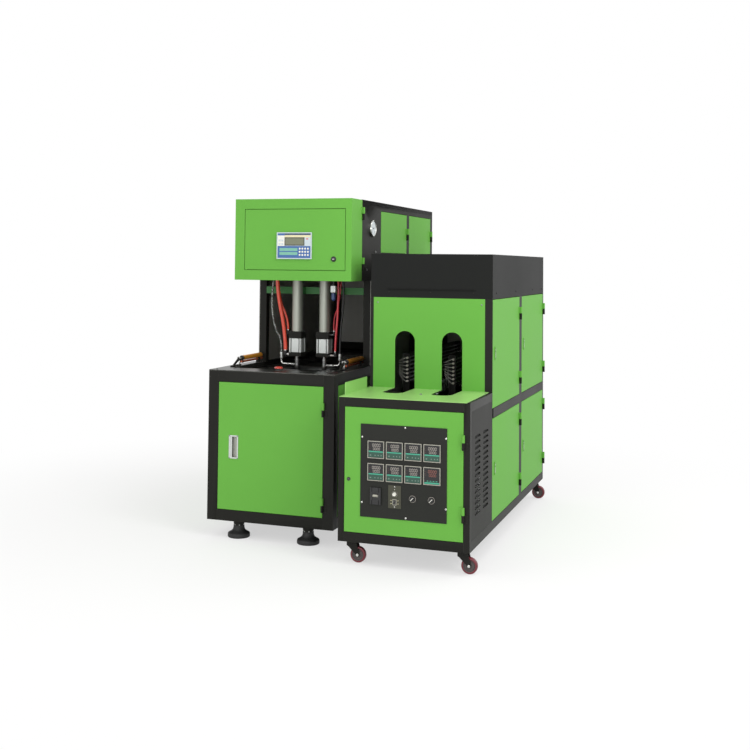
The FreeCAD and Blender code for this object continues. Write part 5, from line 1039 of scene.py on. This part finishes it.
def rocker_switch():
    piece = Piece("rocker_cap")
    half_w, half_h = 0.0060, 0.0086
    outline = [(-0.007, -half_h), (-0.0046, 0), (-0.007, half_h), (0.0024, half_h - 0.003),
               (0.0024, 0.003 - half_h)]
    turn = Matrix.Rotation(math.radians(-9), 3, "X")
    centre = on_panel(*ROCKER)
    points = [centre + turn @ Vector((-half_w, dy, dz)) for dy, dz in outline]
    piece.plate(points, X * 2 * half_w, "black_plastic", edge=0.0006)
    mark = [centre + turn @ Vector((-0.0005, -0.0065, dz)) for dz in (0.0040, 0.0066)]
    piece.pipe(mark, 0.0005, "white_mark", steps=8)
    piece.turned(centre - X * (half_w + 0.003), X, rod(0.0015, 2 * half_w + 0.006), "steel", steps=12)
    piece.done("rocker_switch", ["rocker_switch"], "black_plastic")


# ---- heater: chain, lamps, louvres, locks and fasteners ----
SPINDLE_PITCH = 0.0476
TEETH = 16
RUN = 26
CHAIN_RADIUS = SPINDLE_PITCH / (2 * math.sin(math.pi / TEETH))
LANE_MID = 1.140
FRONT_WHEEL_Y = 0.065
REAR_WHEEL_Y = FRONT_WHEEL_Y + RUN * SPINDLE_PITCH
CHAIN_Z = 0.700
SPINDLE_TALL = 0.0585
LINK_END = 0.0088


def chain_pins():
    """Pins up the left lane, round the rear wheel, down the right lane and round the front wheel."""
    pins = []
    for way, start_y, wheel_y in ((-1, FRONT_WHEEL_Y, REAR_WHEEL_Y), (1, REAR_WHEEL_Y, FRONT_WHEEL_Y)):
        lane = LANE_MID + way * CHAIN_RADIUS
        pins += [(lane, start_y - way * index * SPINDLE_PITCH) for index in range(RUN)]
        for index in range(TEETH // 2):
            angle = (math.pi if way < 0 else 0) - index * 2 * math.pi / TEETH
            pins.append((LANE_MID + CHAIN_RADIUS * math.cos(angle), wheel_y + CHAIN_RADIUS * math.sin(angle)))
    return pins


def spindle_chain():
    """Link plates with round ends, and on each pin a spindle with a ribbed holder."""
    links, spindles = Piece("chain_links"), Piece("chain_spindles")
    holder = [(0, 0), (0.0085, 0), (0.0088, 0.001), (0.0088, 0.006), (0.0062, 0.0075), (0.0062, 0.020),
              (0.0085, 0.022), (0.0085, 0.030), (0.0068, 0.0315), (0.0068, 0.036), (0.0085, 0.0375),
              (0.0085, 0.047), (0.0066, 0.050), (0.0060, 0.0570), (0.0048, SPINDLE_TALL), (0, SPINDLE_TALL)]
    pins = chain_pins()
    for index, (x, y) in enumerate(pins):
        level = CHAIN_Z + (index % 2) * 0.0034
        start, end = at(x, y, level), at(*pins[(index + 1) % len(pins)], level)
        along = (end - start).normalized()
        across = Vector((-along.y, along.x, 0))
        angles = [-math.pi / 2 + math.pi * step / 6 for step in range(7)]
        outline = [centre + spoke(angle, along, across) * way * LINK_END
                   for centre, way in ((end, 1), (start, -1)) for angle in angles]
        links.plate(outline, Z * 0.003, "steel", edge=0.0003)
        links.turned(at(x, y, CHAIN_Z - 0.0003), Z, rod(0.0042, 0.0068), "steel", steps=12)
        spindles.turned(at(x, y, CHAIN_Z + 0.0068), Z, holder, "spindle_metal", steps=20)
    links.done("machine", ["spindle_chain"], "mould_steel")
    spindles.done("machine", ["spindle_chain"], "mould_steel")


LAMP_FRONT, LAMP_LENGTH, LAMP_LOW = 0.360, 1.100, 0.779
LAMP_REAR = LAMP_FRONT + LAMP_LENGTH
LAMP_ROWS = [0.799 + 0.020 * row for row in range(7)]
LAMP_FROM_LANE = 0.062
TERMINAL_DROP = (0.838, 0.902)
# a lead's points from the lamp: x, y from the bank's front, share of the way to the terminal's height
LEAD = ((0, -0.009, 0), (-0.006, -0.0125, 0), (-0.024, -0.0125, 0.4), (-0.044, -0.006, 1), (-0.047, 0.014, 1),
        (-0.036, 0.050, 1), (-0.0262, 0.080, 1))


def lamp_banks():
    """Reflector and seven quartz lamps; a stiff lead runs from each front cap to the reflector's back."""
    cap = [(0, 0), (0.0052, 0), (0.0055, 0.001), (0.0055, 0.019), (0.0045, 0.021), (0.0022, 0.0222),
           (0, 0.0222)]
    for name, lane in (("left", LANE_MID - CHAIN_RADIUS), ("right", LANE_MID + CHAIN_RADIUS)):
        x, top = lane - LAMP_FROM_LANE, LAMP_LOW + 0.160
        piece = Piece(f"lamp_bank_{name}")
        piece.block(at(x - 0.026, LAMP_FRONT, LAMP_LOW), at(x - 0.024, LAMP_REAR, top), "dark_inside",
                    edge=0.0004)
        for y in (LAMP_FRONT + 0.006, LAMP_REAR - 0.010):
            piece.block(at(x - 0.026, y, 0.664), at(x + 0.010, y + 0.004, top), "black_paint", edge=0.0006)
        for row, z in enumerate(LAMP_ROWS):
            piece.turned(at(x, LAMP_FRONT + 0.010, z), Y, rod(0.0048, LAMP_LENGTH - 0.020), "quartz",
                         steps=20)
            for y, way in ((LAMP_FRONT + 0.012, -1), (LAMP_REAR - 0.012, 1)):
                piece.turned(at(x, y, z), Y * way, cap, "ceramic", steps=20)
            share = row / (len(LAMP_ROWS) - 1)
            drop = TERMINAL_DROP[0] + (TERMINAL_DROP[1] - TERMINAL_DROP[0]) * share - z
            piece.pipe([at(x + dx, LAMP_FRONT + dy, z + drop * part) for dx, dy, part in LEAD], 0.0012,
                       "off_white", steps=8)
        piece.done("machine", ["lamp_banks"], "lamp_ceramic")


LOUVRE_CENTRES = (-0.0924, 0.0764)
LOUVRE_ROWS = [0.256 + 0.025 * row for row in range(15)]
LOUVRE_SKIN, LOUVRE_HALF, LOUVRE_H = 1.4332, 0.046, 0.009
# outline (x from the skin, z from the slot), material, rounding
LOUVRE_STRIPS = (
    (((-0.0008, -0.0016), (0.0030, -0.0012), (0.0030, 0.0004), (-0.0008, 0.0004)), "panel_black", 0.0003),
    (((-0.0008, LOUVRE_H - 0.0003), (0.0012, LOUVRE_H + 0.0001), (0.0012, LOUVRE_H + 0.0010),
      (-0.0008, LOUVRE_H + 0.0010)), "panel_black", 0.0003),
    (((-0.0028, 0), (-0.0120, 0.0105), (-0.0128, 0.0100), (-0.0036, -0.0005)), "black_cover", 0))
LOUVRE_CHEEK = ((-0.0004, LOUVRE_H), (0.0028, 0), (-0.0004, 0))


def louvres():
    """Rolled lips, inward flap and end cheeks of each air slot of the control bay."""
    piece = Piece("louvre_lips")
    for y in LOUVRE_CENTRES:
        for z in LOUVRE_ROWS:
            for outline, material, edge in LOUVRE_STRIPS:
                points = [at(LOUVRE_SKIN + dx, y - LOUVRE_HALF, z + dz) for dx, dz in outline]
                piece.plate(points, Y * 2 * LOUVRE_HALF, material, edge=edge)
            for end in (-LOUVRE_HALF, LOUVRE_HALF - 0.0012):
                points = [at(LOUVRE_SKIN + dx, y + end, z + dz) for dx, dz in LOUVRE_CHEEK]
                piece.plate(points, Y * 0.0012, "panel_black", edge=0)
    piece.done("machine")


SIDE_DOORS = {"upper_front": (0.221, 0.965), "upper_rear": (0.971, 0.965),
              "lower_front": (0.221, 0.401), "lower_rear": (0.971, 0.401)}
SIDE_SKIN = 1.437


def side_door_locks():
    """Recess and swing handle on each side door's lock plate."""
    for name, (y, z) in SIDE_DOORS.items():
        piece = Piece(f"side_lock_{name}")
        place = at(SIDE_SKIN, y, z)
        piece.bar(place, (-0.0055, 0.0425, -0.0315), (-0.0002, 0.0595, 0.0315), "black_plastic", edge=0.002)
        piece.bar(place, (-0.0020, 0.0455, -0.0270), (0.0001, 0.0565, 0.0270), "black_plastic", edge=0.0008)
        piece.bar(place, (-0.0010, 0.0485, -0.0220), (0.0006, 0.0535, 0.0060), "chrome", edge=0.0006)
        piece.turned(place + Vector((-0.0004, 0.051, 0.0175)), X, rod(0.0040, 0.0010), "chrome", steps=24)
        piece.done(f"side_door_{name}")


def fasteners():
    """Small screws and bolts that hold the sheets; like ones share a piece."""
    piece = Piece("machine_screws")
    for x, y in ((1.139, -0.025), (1.204, 0.027)):
        piece.hex_head(at(x, y, 0.779), Z, 0.006)
    for x, z in ((0.840, 1.207), (1.378, 1.204)):
        piece.screw(at(x, 0.215, z), -Y, 0.004)
    for y, z in ((0.625, 1.467), (0.482, 1.370)):
        piece.hex_head(at(0.688, y, z), X, 0.006)
    for y in (0.30, 0.80, 1.30, 1.60):
        piece.screw(at(1.433, y, 1.262), X, 0.0045, "black_paint")
    for x in (0.90, 1.118, 1.336):
        piece.screw(at(x, 0.215, 1.262), -Y, 0.0045, "black_paint")
    for x in (0.03, 0.658):
        piece.screw(at(x, 0.030, 0.851), Z, 0.004, "black_paint")
    piece.done("machine")
    keyhole = Piece("heater_door_lock")
    spot = Vector((BLOWER_CORNER.x + 0.855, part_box("heater_door")[1].y - 0.018, 0.398))
    ring = [(0, -0.0002), (0.0085, -0.0002), (0.0085, 0.0016), (0.0075, 0.0026), (0, 0.0026)]
    keyhole.turned(spot, -Y, ring, "black_plastic", steps=32)
    keyhole.bar(spot, (-0.0045, -0.0030, -0.0008), (0.0045, -0.0024, 0.0008), "steel", edge=0.0002)
    keyhole.done("heater_door")


# ---- casters ----
WHEEL_HALF = 0.014
TRAIL = 0.033
CORNERS = ("front_left", "front_right", "rear_left", "rear_right")
TYRE = [(0.0285, 0.0025), (0.0300, 0.0022), (0.0345, 0.0028), (0.0370, 0.0052), (0.0375, 0.0080),
        (0.0375, 0.0200), (0.0370, 0.0228), (0.0345, 0.0252), (0.0300, 0.0258), (0.0285, 0.0255)]
HUB = [(0.0052, 0.0), (0.0105, 0.0), (0.0118, 0.0012), (0.0122, 0.0055), (0.0150, 0.0072), (0.0235, 0.0072),
       (0.0262, 0.0040), (0.0290, 0.0034), (0.0290, 0.0246), (0.0262, 0.0240), (0.0235, 0.0208),
       (0.0150, 0.0208), (0.0122, 0.0225), (0.0118, 0.0268), (0.0105, 0.028), (0.0052, 0.028)]
RACE = [(0.0062, 0), (0.0245, 0), (0.0270, -0.0022), (0.0270, -0.0045), (0.0255, -0.0062), (0.0262, -0.0075),
        (0.0262, -0.0092), (0.0240, -0.0100), (0.0062, -0.0100)]


def casters():
    for corner in CORNERS:
        low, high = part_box(f"caster_wheel_{corner}")
        centre = (low + high) / 2
        wheel = Piece(f"wheel_{corner}")
        wheel.turned(centre - Y * WHEEL_HALF, Y, TYRE, "tyre", steps=64)
        wheel.turned(centre - Y * WHEEL_HALF, Y, HUB, "wheel_hub", steps=56)
        wheel.done(f"caster_wheel_{corner}", [f"caster_wheel_{corner}"], "wheel_rubber")
        caster_fork(corner, centre)


def caster_fork(corner, centre):
    """Pressed fork: raceway head, two cheeks with rounded ends, axle bolt and nut."""
    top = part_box(f"caster_fork_{corner}")[1].z
    fork = Piece(f"fork_{corner}")
    head = Vector((centre.x - TRAIL, centre.y, top))
    fork.turned(head, Z, RACE, "black_paint", steps=56)
    half = WHEEL_HALF + 0.0015
    for way in (-1, 1):
        face, axle = head + Y * way * half, centre + Y * way * half
        end = [axle + Vector((0.011 * math.cos(angle), 0, 0.0005 + 0.0092 * math.sin(angle)))
               for angle in [-math.pi * step / 8 for step in range(9)]]
        outline = [face + Vector((-0.020, 0, -0.008)), face + Vector((0.027, 0, -0.008)),
                   axle + Vector((0.011, 0, 0.004)), *end, axle + Vector((-0.011, 0, 0.004)),
                   face + Vector((-0.012, 0, -0.028)), face + Vector((-0.020, 0, -0.024))]
        fork.plate(outline, Y * way * 0.003, "black_paint", edge=0.0005)
        fork.hex_head(axle + Y * way * 0.0028, Y * way, 0.0052, "chrome")
    fork.bar(head, (-0.020, -half, -0.010), (0.024, half, -0.008), "black_paint", edge=0.0005)
    fork.turned(centre - Y * half, Y, rod(0.005, 2 * half), "steel", steps=20)
    fork.done(f"caster_fork_{corner}", [f"caster_fork_{corner}"], "black_fork")


# ---- finish of the CAD nodes that stay ----
KEPT = {
    "black_paint": "base_frame tower_frame clamp_frame heater_frame", "black_gloss": "table_plate",
    "green_paint": "base_door base_panels tower_door_front tower_door_rear head_box head_door heater_door "
                   "arched_panel side_door_upper_front side_door_upper_rear side_door_lower_front "
                   "side_door_lower_rear",
    # the cylinder beam's darker green is painted shade
    # the shelf's lighter green is painted light
    "green_painted_shade": "cylinder_beam", "green_painted_light": "shelf", "tower_sheet": "tower_panels",
    "heater_sheet": "heater_panels", "hood_sheet": "top_cover", "aluminium": "stretch_cylinders",
    "chrome": "stretch_rod_left stretch_rod_right", "mould_steel": "clamp_half_front clamp_half_rear",
    "motor_grey": "drive_motor", "steel": "front_sprocket rear_sprocket",
}
EDGE_ROUND = 0.0009


def kept_nodes():
    for finish, names in KEPT.items():
        for name in names.split():
            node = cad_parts[name]
            for slot in node.material_slots:
                slot.material = MATERIALS[finish]
            weld = node.modifiers.new("weld", "WELD")
            weld.merge_threshold = 0.00001
            rounding = node.modifiers.new("rounding", "BEVEL")
            rounding.width = EDGE_ROUND
            rounding.segments = 2
            rounding.limit_method = "ANGLE"
            rounding.angle_limit = math.radians(50)
            rounding.harden_normals = False
            weighted = node.modifiers.new("weighted", "WEIGHTED_NORMAL")
            weighted.keep_sharp = False


camera()
materials()
hoses()
air_filter()
head_lock()
operator_panel()
pressure_gauge()
seal_cylinders()
seal_nozzles()
barrel_clamp_screws()
side_cylinders()
side_carriages()
start_button()
door_pull()
levelling_feet()
control_plate()
meters()
knobs()
breaker_lever()
rocker_switch()
spindle_chain()
lamp_banks()
louvres()
side_door_locks()
fasteners()
casters()
kept_nodes()
studio_world()
studio_floor()
lights()
bpy.context.scene.view_settings.view_transform = "Standard"
